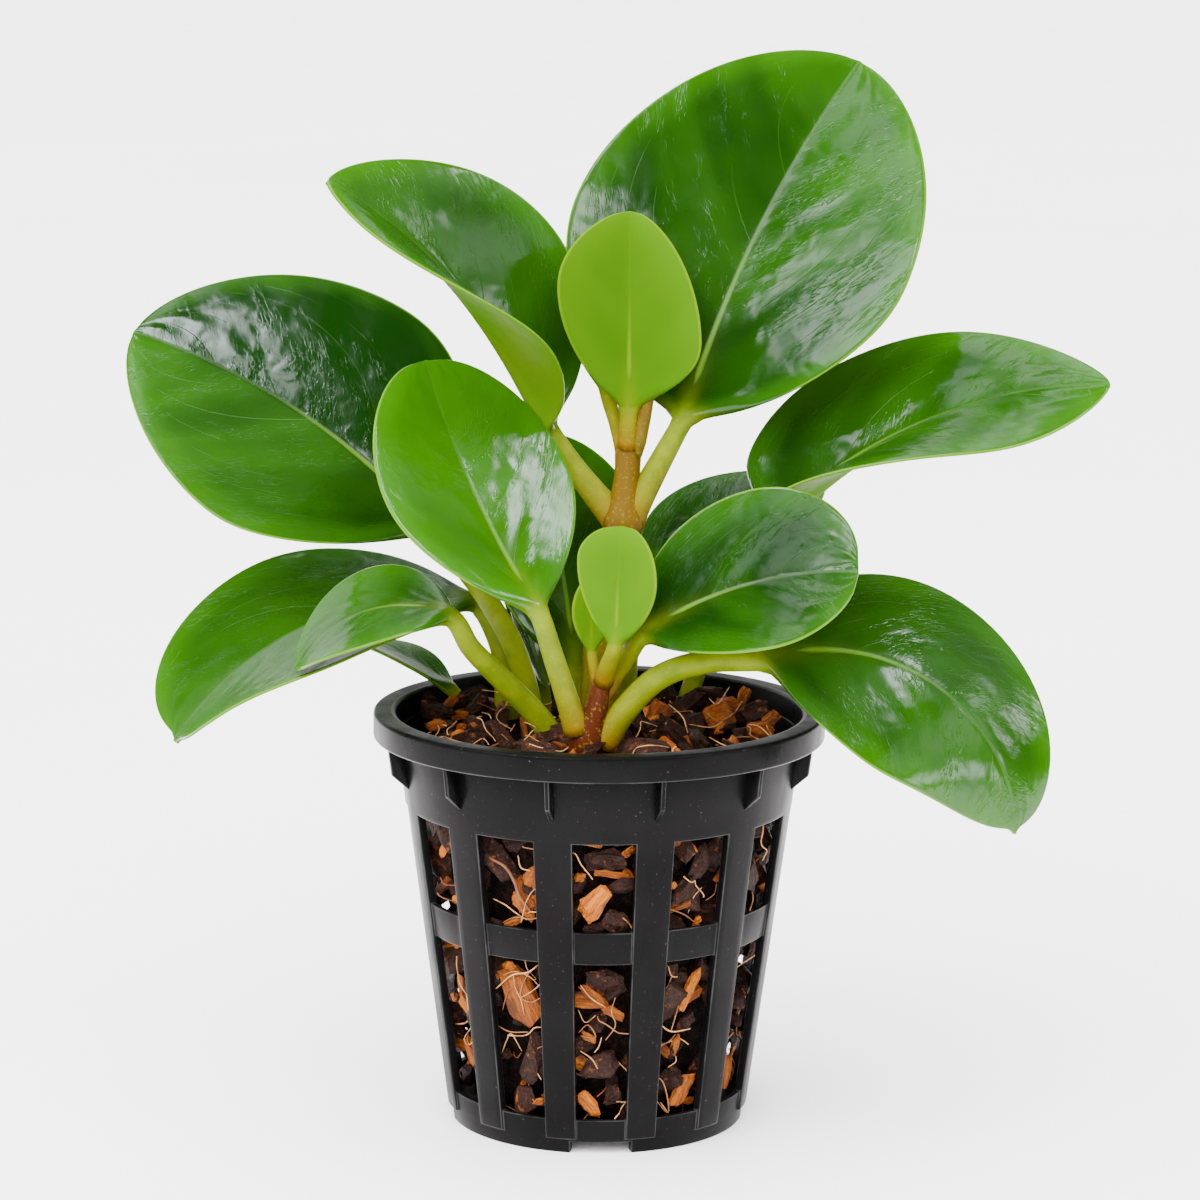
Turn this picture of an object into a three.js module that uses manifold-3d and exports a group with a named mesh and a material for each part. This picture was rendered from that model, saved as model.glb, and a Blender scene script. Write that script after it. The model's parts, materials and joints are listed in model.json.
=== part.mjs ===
// A small potted peperomia: a slotted basket pot filled with bark chips, and the
// plant that grows in it. Millimetres, +Z up. The origin is on the pot's axis, at the
// surface the pot stands on. -Y is the front, the side the slotted wall is seen from.
import * as THREE from 'three';
import { mergeVertices } from 'three/addons/utils/BufferGeometryUtils.js';
import Module from 'manifold-3d';

const wasm = await Module();
wasm.setup();

// ---- driving dimensions ---------------------------------------------------------

const GAP = 0.3; // clearance between neighbouring pieces

const POT = {
  height: 83,
  rimRadius: 45,
  rimBand: 5.2, // height of the outer face of the rim
  rimInnerRadius: 40.6,
  rimEdge: 0.7, // rounding of the rim's edges
  footRadius: 30, // rib face, extended down to the table
  taper: 0.134, // growth of the radius per millimetre of height
  ribProud: 0.6, // the ribs stand this far out of the base band and the middle ring
  wall: 1.2,
  floorTop: 3.8,
  floorBottom: 2.4,
  slots: 12,
  slotAngle: 18.5,
  slotPhase: -88.3, // direction of the centre of the front slot
  lowerSlot: [7, 39.6],
  upperSlot: [46.2, 64.4],
  ribBottom: 3,
  shoulder: 1, // height over which the inside of the wall steps out above the slots
  fin: { reach: 3, height: 9, thickness: 1, sunk: 0.6, slope: 3 },
  footWidth: 2.4,
  footNotch: { count: 4, width: 12, height: 2.3 },
  drain: { count: 6, width: 3, from: 9, to: 22, centreRadius: 5, sides: 18 },
  segments: 36,
};

const MEDIUM = {
  bottom: POT.floorTop + GAP,
  top: 75.5, // top of the packed core at the wall
  mound: 3, // the core rises this much more towards the axis
  chipSide: 56, // chips that show through the slots
  chipTop: 40, // chips on the surface
  chipLength: 11,
  chipWidth: 7.5,
  chipThick: 4.2,
  chipTilt: 0.9, // radians
  chipSunk: 2.4, // a chip's middle lies this far inside the wall, give or take
  chipRise: 0.6, // a surface chip's middle lies this far above the core
  unevenness: 1.2,
  recess: 2.2, // the core lies this far inside the wall
  heap: { x: -24, y: 18, height: 2.2, spread: 14 }, // a higher spot at the back left
  edge: 1.4, // chips stay this far from the inside of the rim
  highest: 84.5,
  seed: 7,
};

const BLADE_THICK = 1.2;
const BLADE_ROWS = 10;
const BLADE_COLUMNS = [-1, -0.6, -0.14, 0, 0.14, 0.6, 1];
const BLADE_BASE_HALF = 1.6; // half width where the blade meets its petiole
const BLADE_TIP_HALF = 0.5;
const PETIOLE_SIDES = 6;
const PETIOLE_UNDER_BLADE = 0.3; // share of the blade that the petiole runs under
const KEEL_END_RADIUS = 0.9; // the petiole's radius where it ends in the blade
const KEEL_RISE = 0.6; // how much it is raised there into the blade
const FOLD_LIMIT = 0.6; // the least cosine that a sharp fold's thickness is worked out for

// Stems. Each is a list of [x, y, z, radius] from the soil up.
const STEMS = {
  main_stem: [
    [0, 3, 70, 4.2],
    [0.6, 3.6, 92, 3.8],
    [2.8, 5, 108, 3.2],
    [4, 5.8, 116, 3.3],
    [4.5, 6, 120, 4],
    [4.9, 6, 124, 3.2],
    [5.2, 6, 129, 2.5],
    [5.4, 6, 134, 2.7],
    [5.5, 6, 136, 1.6],
  ],
  front_shoot: [
    [-2.6, -19.5, 70, 3],
    [-2.4, -19.6, 80, 3.4],
    [-1.4, -19.8, 84.5, 2.8],
    [-0.4, -20, 88, 1.9],
    [0.4, -20, 92, 1.9],
    [0.8, -20, 94, 1.2],
  ],
  top_bud: [
    [7.4, 4.4, 133.2, 0.7],
    [7.6, 4, 136, 1.4],
    [8.4, 3.8, 141, 1.5],
    [9.6, 4, 146, 1],
    [10.2, 4.2, 148.4, 0.4],
  ],
};

// Leaves. base: where the blade starts. azimuth: the way it points, from +X towards
// +Y. pitch: its rise there; bend, sway and twist: how much pitch, azimuth and roll
// change from base to tip. fold: how far each half is raised from flat at the base and
// at the tip. curl: how much more the margins rise. widest, baseFill and tipFill shape
// the outline. stem: the way the petiole takes from its root, as [x, y, z], with its
// radius at the root and at the blade. on: the stem or petiole that it grows from.
// skew: how much nearer the base the right half is widest, and the left half farther.
const LEAVES = {
  leaf_top_right: {
    base: [16.7, 7, 141.2], length: 85, width: 73.5,
    azimuth: 48, pitch: 64, roll: 20.5, bend: -21.5, sway: -5, twist: 9,
    fold: [15.5, 14], curl: -5, widest: 0.41, skew: 0, baseFill: 0.53, tipFill: 0.58,
    stem: [[5.6, 6, 120], [9.2, 6, 127], [13.2, 6.6, 134.5]], radius: [2.8, 1.9],
    on: ['main_stem'], young: false,
  },
  leaf_upper_left: {
    base: [-10.3, 8, 138], length: 69.5, width: 51,
    azimuth: 200, pitch: 64.5, roll: -36, bend: -34, sway: 4, twist: -2,
    fold: [63, 10], curl: -3.5, widest: 0.46, skew: 0, baseFill: 0.71, tipFill: 0.71,
    stem: [[3.4, 6.4, 120], [-1, 7, 125], [-6.5, 7.8, 132]], radius: [2.8, 1.9],
    on: ['main_stem'], young: false,
  },
  leaf_left_large: {
    base: [-33.8, 10, 117.6], length: 77.5, width: 63,
    azimuth: 150, pitch: 41, roll: -39, bend: -27, sway: 12, twist: -6,
    fold: [12, 9], curl: -7, widest: 0.43, skew: 0, baseFill: 0.6, tipFill: 0.56,
    stem: [[-12.6, 7.4, 69], [-13.6, 7.2, 81], [-17, 7, 93.5], [-22.2, 7.6, 103],
      [-28, 9, 110.6]],
    radius: [2.4, 2], on: [], young: false,
  },
  leaf_front_left: {
    base: [-12, -22, 107.2], length: 56, width: 43,
    azimuth: 135, pitch: 42.5, roll: -9, bend: 24, sway: 0, twist: -3.5,
    fold: [12.5, 14], curl: -10, widest: 0.5, skew: 0, baseFill: 0.74, tipFill: 0.45,
    stem: [[-4.2, -20.4, 82.5], [-6.5, -21, 90], [-9.2, -21.6, 98.5]], radius: [2.3, 1.9],
    on: ['front_shoot'], young: false,
  },
  leaf_low_left: {
    base: [-25.3, 16, 101.6], length: 69.2, width: 50.7,
    azimuth: 189, pitch: 9, roll: -24, bend: -63.5, sway: 10, twist: 14,
    fold: [-4, 16], curl: 6, widest: 0.53, skew: 0, baseFill: 0.9, tipFill: 0.42,
    stem: [[-18.4, 15, 69], [-18.7, 15, 80], [-19.1, 15, 88.6], [-21.5, 15.4, 96]],
    radius: [2.9, 2], on: [], young: false,
  },
  leaf_low_left_front: {
    base: [-28.9, -17, 105], length: 35.6, width: 31.2,
    azimuth: 177, pitch: 19, roll: -22.5, bend: -79, sway: -8, twist: 3,
    fold: [3, 1], curl: 6, widest: 0.5, skew: 0, baseFill: 0.65, tipFill: 0.57,
    stem: [[-7, -5.5, 68], [-10, -6, 79.4], [-14.8, -7.6, 85.8], [-19.8, -10.6, 91.6],
      [-25.4, -14, 98.2]],
    radius: [2.7, 1.9], on: [], young: false,
  },
  leaf_small_left: {
    base: [-30, 20, 82.5], length: 24, width: 14.5,
    azimuth: 158, pitch: 36, roll: 0, bend: -32, sway: 0, twist: 2,
    fold: [14, 12], curl: -3, widest: 0.5, skew: 0, baseFill: 0.76, tipFill: 0.71,
    stem: [[-25.4, 18.6, 69], [-26.6, 19, 77]], radius: [1.6, 1.4],
    on: [], young: false,
  },
  leaf_front_right: {
    base: [8.4, -24, 102.8], length: 44.2, width: 38.3,
    azimuth: -5, pitch: 36, roll: 45, bend: -36.5, sway: -5, twist: 4,
    fold: [16.5, 14.5], curl: 0, widest: 0.58, skew: 0, baseFill: 0.57, tipFill: 0.41,
    stem: [[0.8, -18.8, 89.6], [3.2, -18.2, 93.4], [6, -20.6, 98.2]], radius: [1.6, 1.6],
    on: ['front_shoot'], young: false,
  },
  leaf_drooping_right: {
    base: [32, -24, 98], length: 68, width: 44.5,
    azimuth: 4, pitch: 17, roll: 45.5, bend: -102.5, sway: -6.5, twist: 6.5,
    fold: [-2.5, -3], curl: -8, widest: 0.44, skew: 0, baseFill: 0.48, tipFill: 0.48,
    stem: [[0.6, -19, 80], [5, -20, 87], [11.8, -21.6, 94], [21, -23.2, 97.4]],
    radius: [2.6, 2.2], on: ['front_shoot'], young: false,
  },
  leaf_right: {
    base: [33, 0, 119.5], length: 75.2, width: 46.2,
    azimuth: -8, pitch: 47.5, roll: 18, bend: -46, sway: 0, twist: 17.5,
    fold: [48, -5], curl: -8, widest: 0.45, skew: 0, baseFill: 0.3, tipFill: 0.68,
    stem: [[3.4, 4.8, 102], [11, 4.4, 104.6], [20.5, 3, 108.8], [28, 1.2, 114]],
    radius: [2.5, 2], on: ['main_stem'], young: false,
  },
  leaf_back_right: {
    base: [11.7, 16, 107.2], length: 42.5, width: 35,
    azimuth: 34.5, pitch: 31.5, roll: 10, bend: -18, sway: -1.5, twist: -2.5,
    fold: [12, 10.5], curl: -5, widest: 0.46, skew: 0, baseFill: 0.51, tipFill: 0.53,
    stem: [[2.2, 6.4, 94], [5, 9.6, 98.2], [8.6, 13, 103]], radius: [2.2, 1.8],
    on: ['main_stem'], young: false,
  },
  leaf_young_top: {
    base: [5.4, 3.4, 143.3], length: 38.5, width: 29.5,
    azimuth: 90, pitch: 90, roll: 0, bend: -4, sway: 0, twist: 0,
    fold: [16, 14], curl: 2, widest: 0.47, skew: 0.15, baseFill: 0.7, tipFill: 0.55,
    stem: [[5.4, 5, 135], [5.4, 4.2, 139]], radius: [1.9, 1.7],
    on: ['main_stem', 'top_bud'], young: true,
  },
  leaf_young_behind: {
    base: [0.6, 9, 146], length: 24, width: 15,
    azimuth: 108, pitch: 86, roll: 0, bend: -8, sway: 0, twist: 0,
    fold: [22, 16], curl: 0, widest: 0.5, skew: 0, baseFill: 0.8, tipFill: 0.65,
    stem: [[4.6, 6.6, 134], [2.8, 7.6, 140]], radius: [1.6, 1.3],
    on: ['main_stem', 'leaf_young_top'], young: true,
  },
  leaf_young_front: {
    base: [3.2, -26, 101], length: 23, width: 16.4,
    azimuth: 80, pitch: 84, roll: 0, bend: -6, sway: -8, twist: 0,
    fold: [14, 12], curl: 2, widest: 0.62, skew: 0.1, baseFill: 0.73, tipFill: 0.42,
    stem: [[0.8, -20.4, 92.6], [1.8, -23.4, 97]], radius: [1.7, 1.5],
    on: ['front_shoot'], young: true,
  },
  leaf_young_front_inner: {
    base: [-1.6, -17, 98], length: 15, width: 8,
    azimuth: 96, pitch: 80, roll: 0, bend: -6, sway: 0, twist: 0,
    fold: [24, 18], curl: 0, widest: 0.5, skew: 0, baseFill: 0.8, tipFill: 0.7,
    stem: [[-0.2, -19, 91.6], [-1.2, -18, 95]], radius: [1.1, 0.9],
    on: ['front_shoot', 'leaf_young_front'], young: true,
  },
  leaf_back_upright: {
    base: [-5.2, 12, 89.5], length: 48, width: 35,
    azimuth: 119.5, pitch: 77, roll: -8.5, bend: -14, sway: 0, twist: 0,
    fold: [14.5, 13.5], curl: -4, widest: 0.54, skew: 0, baseFill: 0.65, tipFill: 0.49,
    stem: [[-4.7, 13, 69], [-4.9, 13, 80], [-5.1, 12.6, 85]], radius: [2.4, 1.9],
    on: [], young: false,
  },
  leaf_back_left: {
    base: [-11.8, 20, 82], length: 50, width: 30,
    azimuth: 137, pitch: 73, roll: 15, bend: -22.5, sway: 6.5, twist: 6,
    fold: [16.5, 18], curl: 1, widest: 0.5, skew: 0, baseFill: 0.77, tipFill: 0.6,
    stem: [[-10.8, 20.6, 69], [-11.3, 20.3, 76]], radius: [2.3, 1.9],
    on: [], young: false,
  },
  leaf_back_right_low: {
    base: [28, 21, 96], length: 40, width: 26,
    azimuth: 8, pitch: 12, roll: 22, bend: -30, sway: 0, twist: 0,
    fold: [8, 6], curl: -6, widest: 0.5, skew: 0, baseFill: 0.6, tipFill: 0.55,
    stem: [[17, 23, 69], [18, 22.8, 80], [21.4, 22, 89], [24.6, 21.4, 93.5]],
    radius: [2.2, 1.7], on: [], young: false,
  },
  leaf_back_centre: {
    base: [6.5, 23, 93], length: 29, width: 23,
    azimuth: 78, pitch: 50, roll: 0, bend: -25, sway: 0, twist: 0,
    fold: [12, 8], curl: -6, widest: 0.48, skew: 0, baseFill: 0.6, tipFill: 0.55,
    stem: [[5.4, 21, 69], [5.6, 21.4, 80], [6, 22.4, 87]],
    radius: [2.1, 1.7], on: [], young: false,
  },
};

const COLOURS = {
  pot: { color: 0x2a2c2e, roughness: 0.42, metalness: 0 },
  medium: { color: 0x4a2a1c, roughness: 0.9, metalness: 0 },
  leaf: { color: 0x2c6a16, roughness: 0.3, metalness: 0 },
  youngLeaf: { color: 0x86b81c, roughness: 0.45, metalness: 0 },
  stem: { color: 0x9a8a2c, roughness: 0.5, metalness: 0 },
  shoot: { color: 0x6e3518, roughness: 0.55, metalness: 0 },
  bud: { color: 0x7c7a2a, roughness: 0.5, metalness: 0 },
};

// ---- small tools ----------------------------------------------------------------

const radians = THREE.MathUtils.degToRad;

// A fixed sequence of numbers between 0 and 1, the same in every run.
function sequence(seed) {
  let state = seed;
  return () => {
    state = (state * 1664525 + 1013904223) % 4294967296;
    return state / 4294967296;
  };
}

// Turns a closed mesh's faces outward: the signed volume of an inside-out mesh is negative.
function outward(geometry) {
  const position = geometry.attributes.position;
  const index = geometry.index.array;
  const corners = [new THREE.Vector3(), new THREE.Vector3(), new THREE.Vector3()];
  let volume = 0;
  for (let i = 0; i < index.length; i += 3) {
    corners.forEach((corner, k) => corner.fromBufferAttribute(position, index[i + k]));
    volume += corners[0].dot(corners[1].cross(corners[2]));
  }
  if (volume < 0) {
    for (let i = 0; i < index.length; i += 3) {
      [index[i + 1], index[i + 2]] = [index[i + 2], index[i + 1]];
    }
  }
  return geometry;
}

function toSolid(geometry) {
  const bare = geometry.clone();
  bare.deleteAttribute('normal');
  bare.deleteAttribute('uv');
  const merged = outward(mergeVertices(bare, 1e-4));
  const mesh = new wasm.Mesh({
    numProp: 3,
    vertProperties: new Float32Array(merged.attributes.position.array),
    triVerts: new Uint32Array(merged.index.array),
  });
  return new wasm.Manifold(mesh);
}

function fromSolid(solid) {
  const mesh = solid.getMesh();
  const geometry = new THREE.BufferGeometry();
  geometry.setAttribute('position', new THREE.BufferAttribute(mesh.vertProperties, 3));
  geometry.setIndex(new THREE.BufferAttribute(mesh.triVerts, 1));
  return largestShell(geometry);
}

// Keeps the largest connected shell, so that a cut leaves no loose crumb and no
// sealed hollow behind.
function largestShell(geometry) {
  const index = geometry.index.array;
  const parent = Array.from({ length: geometry.attributes.position.count }, (_, i) => i);
  const root = (i) => {
    while (parent[i] !== i) {
      parent[i] = parent[parent[i]];
      i = parent[i];
    }
    return i;
  };
  for (let i = 0; i < index.length; i += 3) {
    parent[root(index[i + 1])] = root(index[i]);
    parent[root(index[i + 2])] = root(index[i]);
  }
  const shells = new Map();
  for (let i = 0; i < index.length; i += 3) {
    const key = root(index[i]);
    if (!shells.has(key)) shells.set(key, []);
    shells.get(key).push(index[i], index[i + 1], index[i + 2]);
  }
  const largest = [...shells.values()].sort((a, b) => b.length - a.length)[0];
  const kept = geometry.clone();
  kept.setIndex(largest);
  const merged = mergeVertices(kept, 1e-5);
  merged.computeVertexNormals();
  return merged;
}

function union(solids) {
  let level = solids;
  while (level.length > 1) {
    const next = [];
    for (let i = 0; i < level.length; i += 2) {
      next.push(i + 1 < level.length ? level[i].add(level[i + 1]) : level[i]);
    }
    level = next;
  }
  return level[0];
}

// ---- shapes ---------------------------------------------------------------------

// A closed solid through rings of points that all have the same number of corners.
function skin(rings) {
  const sides = rings[0].length;
  const points = rings.flat();
  const index = [];
  for (let i = 0; i + 1 < rings.length; i += 1) {
    for (let k = 0; k < sides; k += 1) {
      const a = i * sides + k;
      const b = i * sides + ((k + 1) % sides);
      index.push(a, b, a + sides, b, b + sides, a + sides);
    }
  }
  for (const [row, turn] of [[0, 1], [rings.length - 1, -1]]) {
    const middle = points.length;
    const centre = rings[row].reduce((sum, p) => sum.add(p), new THREE.Vector3());
    points.push(centre.divideScalar(sides));
    for (let k = 0; k < sides; k += 1) {
      const a = row * sides + k;
      const b = row * sides + ((k + 1) % sides);
      index.push(...(turn > 0 ? [b, a, middle] : [a, b, middle]));
    }
  }
  const geometry = new THREE.BufferGeometry().setFromPoints(points);
  geometry.setIndex(index);
  return geometry;
}

// A round rod through [x, y, z, radius] points, smooth between them.
function rod(points, steps, extra = 0) {
  const places = points.map(([x, y, z]) => new THREE.Vector3(x, y, z));
  const curve = new THREE.CatmullRomCurve3(places, false, 'centripetal');
  const rings = [];
  let across = new THREE.Vector3(1, 0, 0);
  for (let i = 0; i <= steps; i += 1) {
    const along = (i / steps) * (points.length - 1);
    const lower = Math.min(Math.floor(along), points.length - 2);
    const share = along - lower;
    const radius = THREE.MathUtils.lerp(points[lower][3], points[lower + 1][3], share) + extra;
    const centre = curve.getPoint(i / steps);
    const forward = curve.getTangent(i / steps);
    across = across.clone().addScaledVector(forward, -across.dot(forward)).normalize();
    const upward = forward.clone().cross(across);
    const ring = [];
    for (let k = 0; k < PETIOLE_SIDES; k += 1) {
      const angle = (k / PETIOLE_SIDES) * 2 * Math.PI;
      const corner = centre.clone().addScaledVector(across, radius * Math.cos(angle));
      ring.push(corner.addScaledVector(upward, radius * Math.sin(angle)));
    }
    rings.push(ring);
  }
  return skin(rings);
}

// A solid of revolution about Z from a closed outline of [radius, height] points.
function turned(outline) {
  const points = outline.map(([r, z]) => new THREE.Vector2(Math.max(r, 0), z));
  points.push(points[0].clone());
  const geometry = new THREE.LatheGeometry(points, POT.segments);
  return toSolid(geometry.rotateX(Math.PI / 2));
}

// A plate with the given corners in the XY plane, from z = bottom to z = top.
function slab(corners, bottom, top) {
  const shape = new THREE.Shape(corners.map(([x, y]) => new THREE.Vector2(x, y)));
  const geometry = new THREE.ExtrudeGeometry(shape, { depth: top - bottom, bevelEnabled: false });
  return toSolid(geometry.translate(0, 0, bottom));
}

// A wedge of a ring about Z, as seen from above, with straight inner and outer edges.
function sector(direction, width, inner, outer, bottom, top) {
  const corner = (radius, side) => {
    const angle = radians(direction + (side * width) / 2);
    return [radius * Math.cos(angle), radius * Math.sin(angle)];
  };
  const corners = [corner(inner, -1), corner(outer, -1), corner(outer, 1), corner(inner, 1)];
  return slab(corners, bottom, top);
}

// ---- pot ------------------------------------------------------------------------

const wallRadius = (z) => POT.footRadius + POT.taper * z;
const slotDirection = (i) => POT.slotPhase + (i * 360) / POT.slots;
const ribDirection = (i) => slotDirection(i + 0.5);

// The wall, the rim and the raised floor, before the slots are cut.
function potShell() {
  const back = POT.ribProud;
  const inside = back + POT.wall;
  const rimBottom = POT.height - POT.rimBand;
  const edge = POT.rimEdge;
  return turned([
    [wallRadius(0) - back - POT.footWidth, 0],
    [wallRadius(0) - back, 0],
    [wallRadius(POT.upperSlot[1]) - back, POT.upperSlot[1]],
    [wallRadius(POT.upperSlot[1]), POT.upperSlot[1]],
    [wallRadius(rimBottom), rimBottom],
    [POT.rimRadius - edge, rimBottom],
    [POT.rimRadius, rimBottom + edge],
    [POT.rimRadius, POT.height - edge],
    [POT.rimRadius - edge, POT.height],
    [POT.rimInnerRadius + edge, POT.height],
    [POT.rimInnerRadius, POT.height - edge],
    [wallRadius(rimBottom) - POT.wall, rimBottom],
    [wallRadius(POT.upperSlot[1]) - POT.wall, POT.upperSlot[1] + POT.shoulder],
    [wallRadius(POT.upperSlot[1]) - inside, POT.upperSlot[1]],
    [wallRadius(POT.floorTop) - inside, POT.floorTop],
    [0, POT.floorTop],
    [0, POT.floorBottom],
    [wallRadius(0) - back - POT.footWidth, POT.floorBottom],
  ]);
}

// A ring as thick as the wall and its ribs together; each rib is a piece of it.
function ribRing() {
  const top = POT.upperSlot[1] + POT.shoulder;
  const thick = POT.ribProud + POT.wall;
  return turned([
    [wallRadius(POT.ribBottom) - thick, POT.ribBottom],
    [wallRadius(POT.ribBottom), POT.ribBottom],
    [wallRadius(top), top],
    [wallRadius(top) - POT.wall, top],
    [wallRadius(POT.upperSlot[1]) - thick, POT.upperSlot[1]],
  ]);
}

// A thin fin under the rim, with its lower end sloped back to the wall. Its root is
// sunk in the wall and its top in the rim.
function fin(direction) {
  const { sunk, slope, reach, height } = POT.fin;
  const top = POT.height - POT.rimBand + sunk;
  const bottom = POT.height - POT.rimBand - height;
  const outline = new THREE.Shape([
    new THREE.Vector2(wallRadius(top) - sunk, top),
    new THREE.Vector2(wallRadius(bottom) - sunk, bottom),
    new THREE.Vector2(wallRadius(bottom), bottom),
    new THREE.Vector2(wallRadius(bottom + slope) + reach, bottom + slope),
    new THREE.Vector2(wallRadius(top) + reach, top),
  ]);
  const options = { depth: POT.fin.thickness, bevelEnabled: false };
  const geometry = new THREE.ExtrudeGeometry(outline, options);
  geometry.translate(0, 0, -POT.fin.thickness / 2);
  geometry.rotateX(Math.PI / 2);
  return toSolid(geometry.rotateZ(radians(direction)));
}

function makePot() {
  const beyond = 5; // how far a cutting solid reaches past what it cuts
  const reach = POT.rimRadius + beyond;
  const deep = wallRadius(0) - beyond;
  const cuts = [];
  const additions = [];
  const ribAngle = 360 / POT.slots - POT.slotAngle;
  const ring = ribRing();
  for (let i = 0; i < POT.slots; i += 1) {
    cuts.push(sector(slotDirection(i), POT.slotAngle, deep, reach, ...POT.lowerSlot));
    cuts.push(sector(slotDirection(i), POT.slotAngle, deep, reach, ...POT.upperSlot));
    const rib = sector(ribDirection(i), ribAngle, deep, reach, 0, POT.height);
    additions.push(ring.intersect(rib));
    additions.push(fin(ribDirection(i)));
  }
  const half = POT.footNotch.width / 2;
  for (let i = 0; i < POT.footNotch.count; i += 1) {
    const angle = radians(POT.slotPhase + (i * 360) / POT.footNotch.count);
    const turn = ([x, y]) => [
      x * Math.cos(angle) - y * Math.sin(angle),
      x * Math.sin(angle) + y * Math.cos(angle),
    ];
    const corners = [[deep, -half], [reach, -half], [reach, half], [deep, half]];
    cuts.push(slab(corners.map(turn), -beyond, POT.footNotch.height));
  }
  const { from, to, width, centreRadius, count, sides } = POT.drain;
  for (let i = 0; i < count; i += 1) {
    const drain = new THREE.BoxGeometry(to - from, width, beyond);
    drain.translate((from + to) / 2, 0, POT.floorTop);
    cuts.push(toSolid(drain.rotateZ(radians(slotDirection((i * POT.slots) / count)))));
  }
  const hole = new THREE.CylinderGeometry(centreRadius, centreRadius, beyond, sides);
  cuts.push(toSolid(hole.rotateX(Math.PI / 2).translate(0, 0, POT.floorTop)));
  return potShell().subtract(union(cuts)).add(union(additions));
}

// ---- plant ----------------------------------------------------------------------

// Width of the left (-1) or right (1) half of a blade at a share of its length, as a
// share of its greatest.
function outlineAt(share, side, { widest, skew, baseFill, tipFill }) {
  const peak = widest - side * skew;
  if (share < peak) return Math.sin((Math.PI / 2) * (share / peak)) ** baseFill;
  return Math.cos((Math.PI / 2) * ((share - peak) / (1 - peak))) ** tipFill;
}

// The blade's directions at a share of its length: along the midrib, to its right
// side and out of its upper face.
function bladeFrame(leaf, share) {
  const azimuth = radians(leaf.azimuth + leaf.sway * share);
  const pitch = radians(leaf.pitch + leaf.bend * share);
  const roll = radians(leaf.roll + leaf.twist * share);
  const level = new THREE.Vector3(Math.cos(azimuth), Math.sin(azimuth), 0);
  const along = level.clone().multiplyScalar(Math.cos(pitch));
  along.z = Math.sin(pitch);
  const face = level.clone().multiplyScalar(-Math.sin(pitch));
  face.z = Math.cos(pitch);
  const side = along.clone().cross(face);
  const upper = face.clone().multiplyScalar(Math.cos(roll)).addScaledVector(side, Math.sin(roll));
  const right = side.multiplyScalar(Math.cos(roll)).addScaledVector(face, -Math.sin(roll));
  return { along, right, upper };
}

// How far a point of the cross-section lies to the side and up, for a half width of
// one: the section leaves the midrib at the fold angle and curls on towards the margin.
function sectionAt(leaf, share, column) {
  const fold = THREE.MathUtils.lerp(leaf.fold[0], leaf.fold[1], share);
  const steps = 8;
  let sideways = 0;
  let up = 0;
  for (let i = 0; i < steps; i += 1) {
    const reached = (Math.abs(column) * (i + 0.5)) / steps;
    const slope = radians(fold + leaf.curl * reached);
    sideways += (Math.cos(slope) * Math.abs(column)) / steps;
    up += (Math.sin(slope) * Math.abs(column)) / steps;
  }
  return [sideways * Math.sign(column), up];
}

// Shares of the blade's length, closer together at the base and the tip.
function bladeShares() {
  const rows = [];
  for (let i = 0; i < BLADE_ROWS; i += 1) {
    rows.push(0.5 - 0.5 * Math.cos((Math.PI * i) / (BLADE_ROWS - 1)));
  }
  return rows;
}

// The middle of the blade, halfway through its thickness: rows of points from base to tip.
function bladeRows(leaf) {
  const shares = bladeShares();
  const spine = new THREE.Vector3(...leaf.base);
  const fine = 12;
  return shares.map((share, row) => {
    if (row > 0) {
      const step = (share - shares[row - 1]) / fine;
      for (let i = 0; i < fine; i += 1) {
        const { along } = bladeFrame(leaf, shares[row - 1] + (i + 0.5) * step);
        spine.addScaledVector(along, leaf.length * step);
      }
    }
    const { right, upper } = bladeFrame(leaf, share);
    const least = share < 0.5 ? BLADE_BASE_HALF : BLADE_TIP_HALF;
    return BLADE_COLUMNS.map((column) => {
      const full = (leaf.width / 2) * outlineAt(share, Math.sign(column), leaf);
      const half = Math.max(full, least);
      const [sideways, up] = sectionAt(leaf, share, column);
      return spine.clone().addScaledVector(right, half * sideways).addScaledVector(upper, half * up);
    });
  });
}

// The direction across the blade at each of its points. It is longer where the two
// halves fold sharply together, so that the blade keeps its thickness there.
function bladeOffsets(rows) {
  const columns = rows[0].length;
  const last = rows.length - 1;
  const cell = (i, k) => {
    const a = rows[i + 1][k].clone().sub(rows[i][k + 1]);
    const b = rows[i + 1][k + 1].clone().sub(rows[i][k]);
    return b.cross(a).normalize();
  };
  return rows.map((row, i) => row.map((_, k) => {
    const near = [];
    for (const r of [i - 1, i]) {
      for (const c of [k - 1, k]) {
        if (r >= 0 && r < last && c >= 0 && c < columns - 1) near.push(cell(r, c));
      }
    }
    const mean = near.reduce((sum, n) => sum.add(n), new THREE.Vector3()).normalize();
    const least = Math.min(...near.map((n) => n.dot(mean)));
    return mean.multiplyScalar(BLADE_THICK / 2 / Math.max(least, FOLD_LIMIT));
  }));
}

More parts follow.
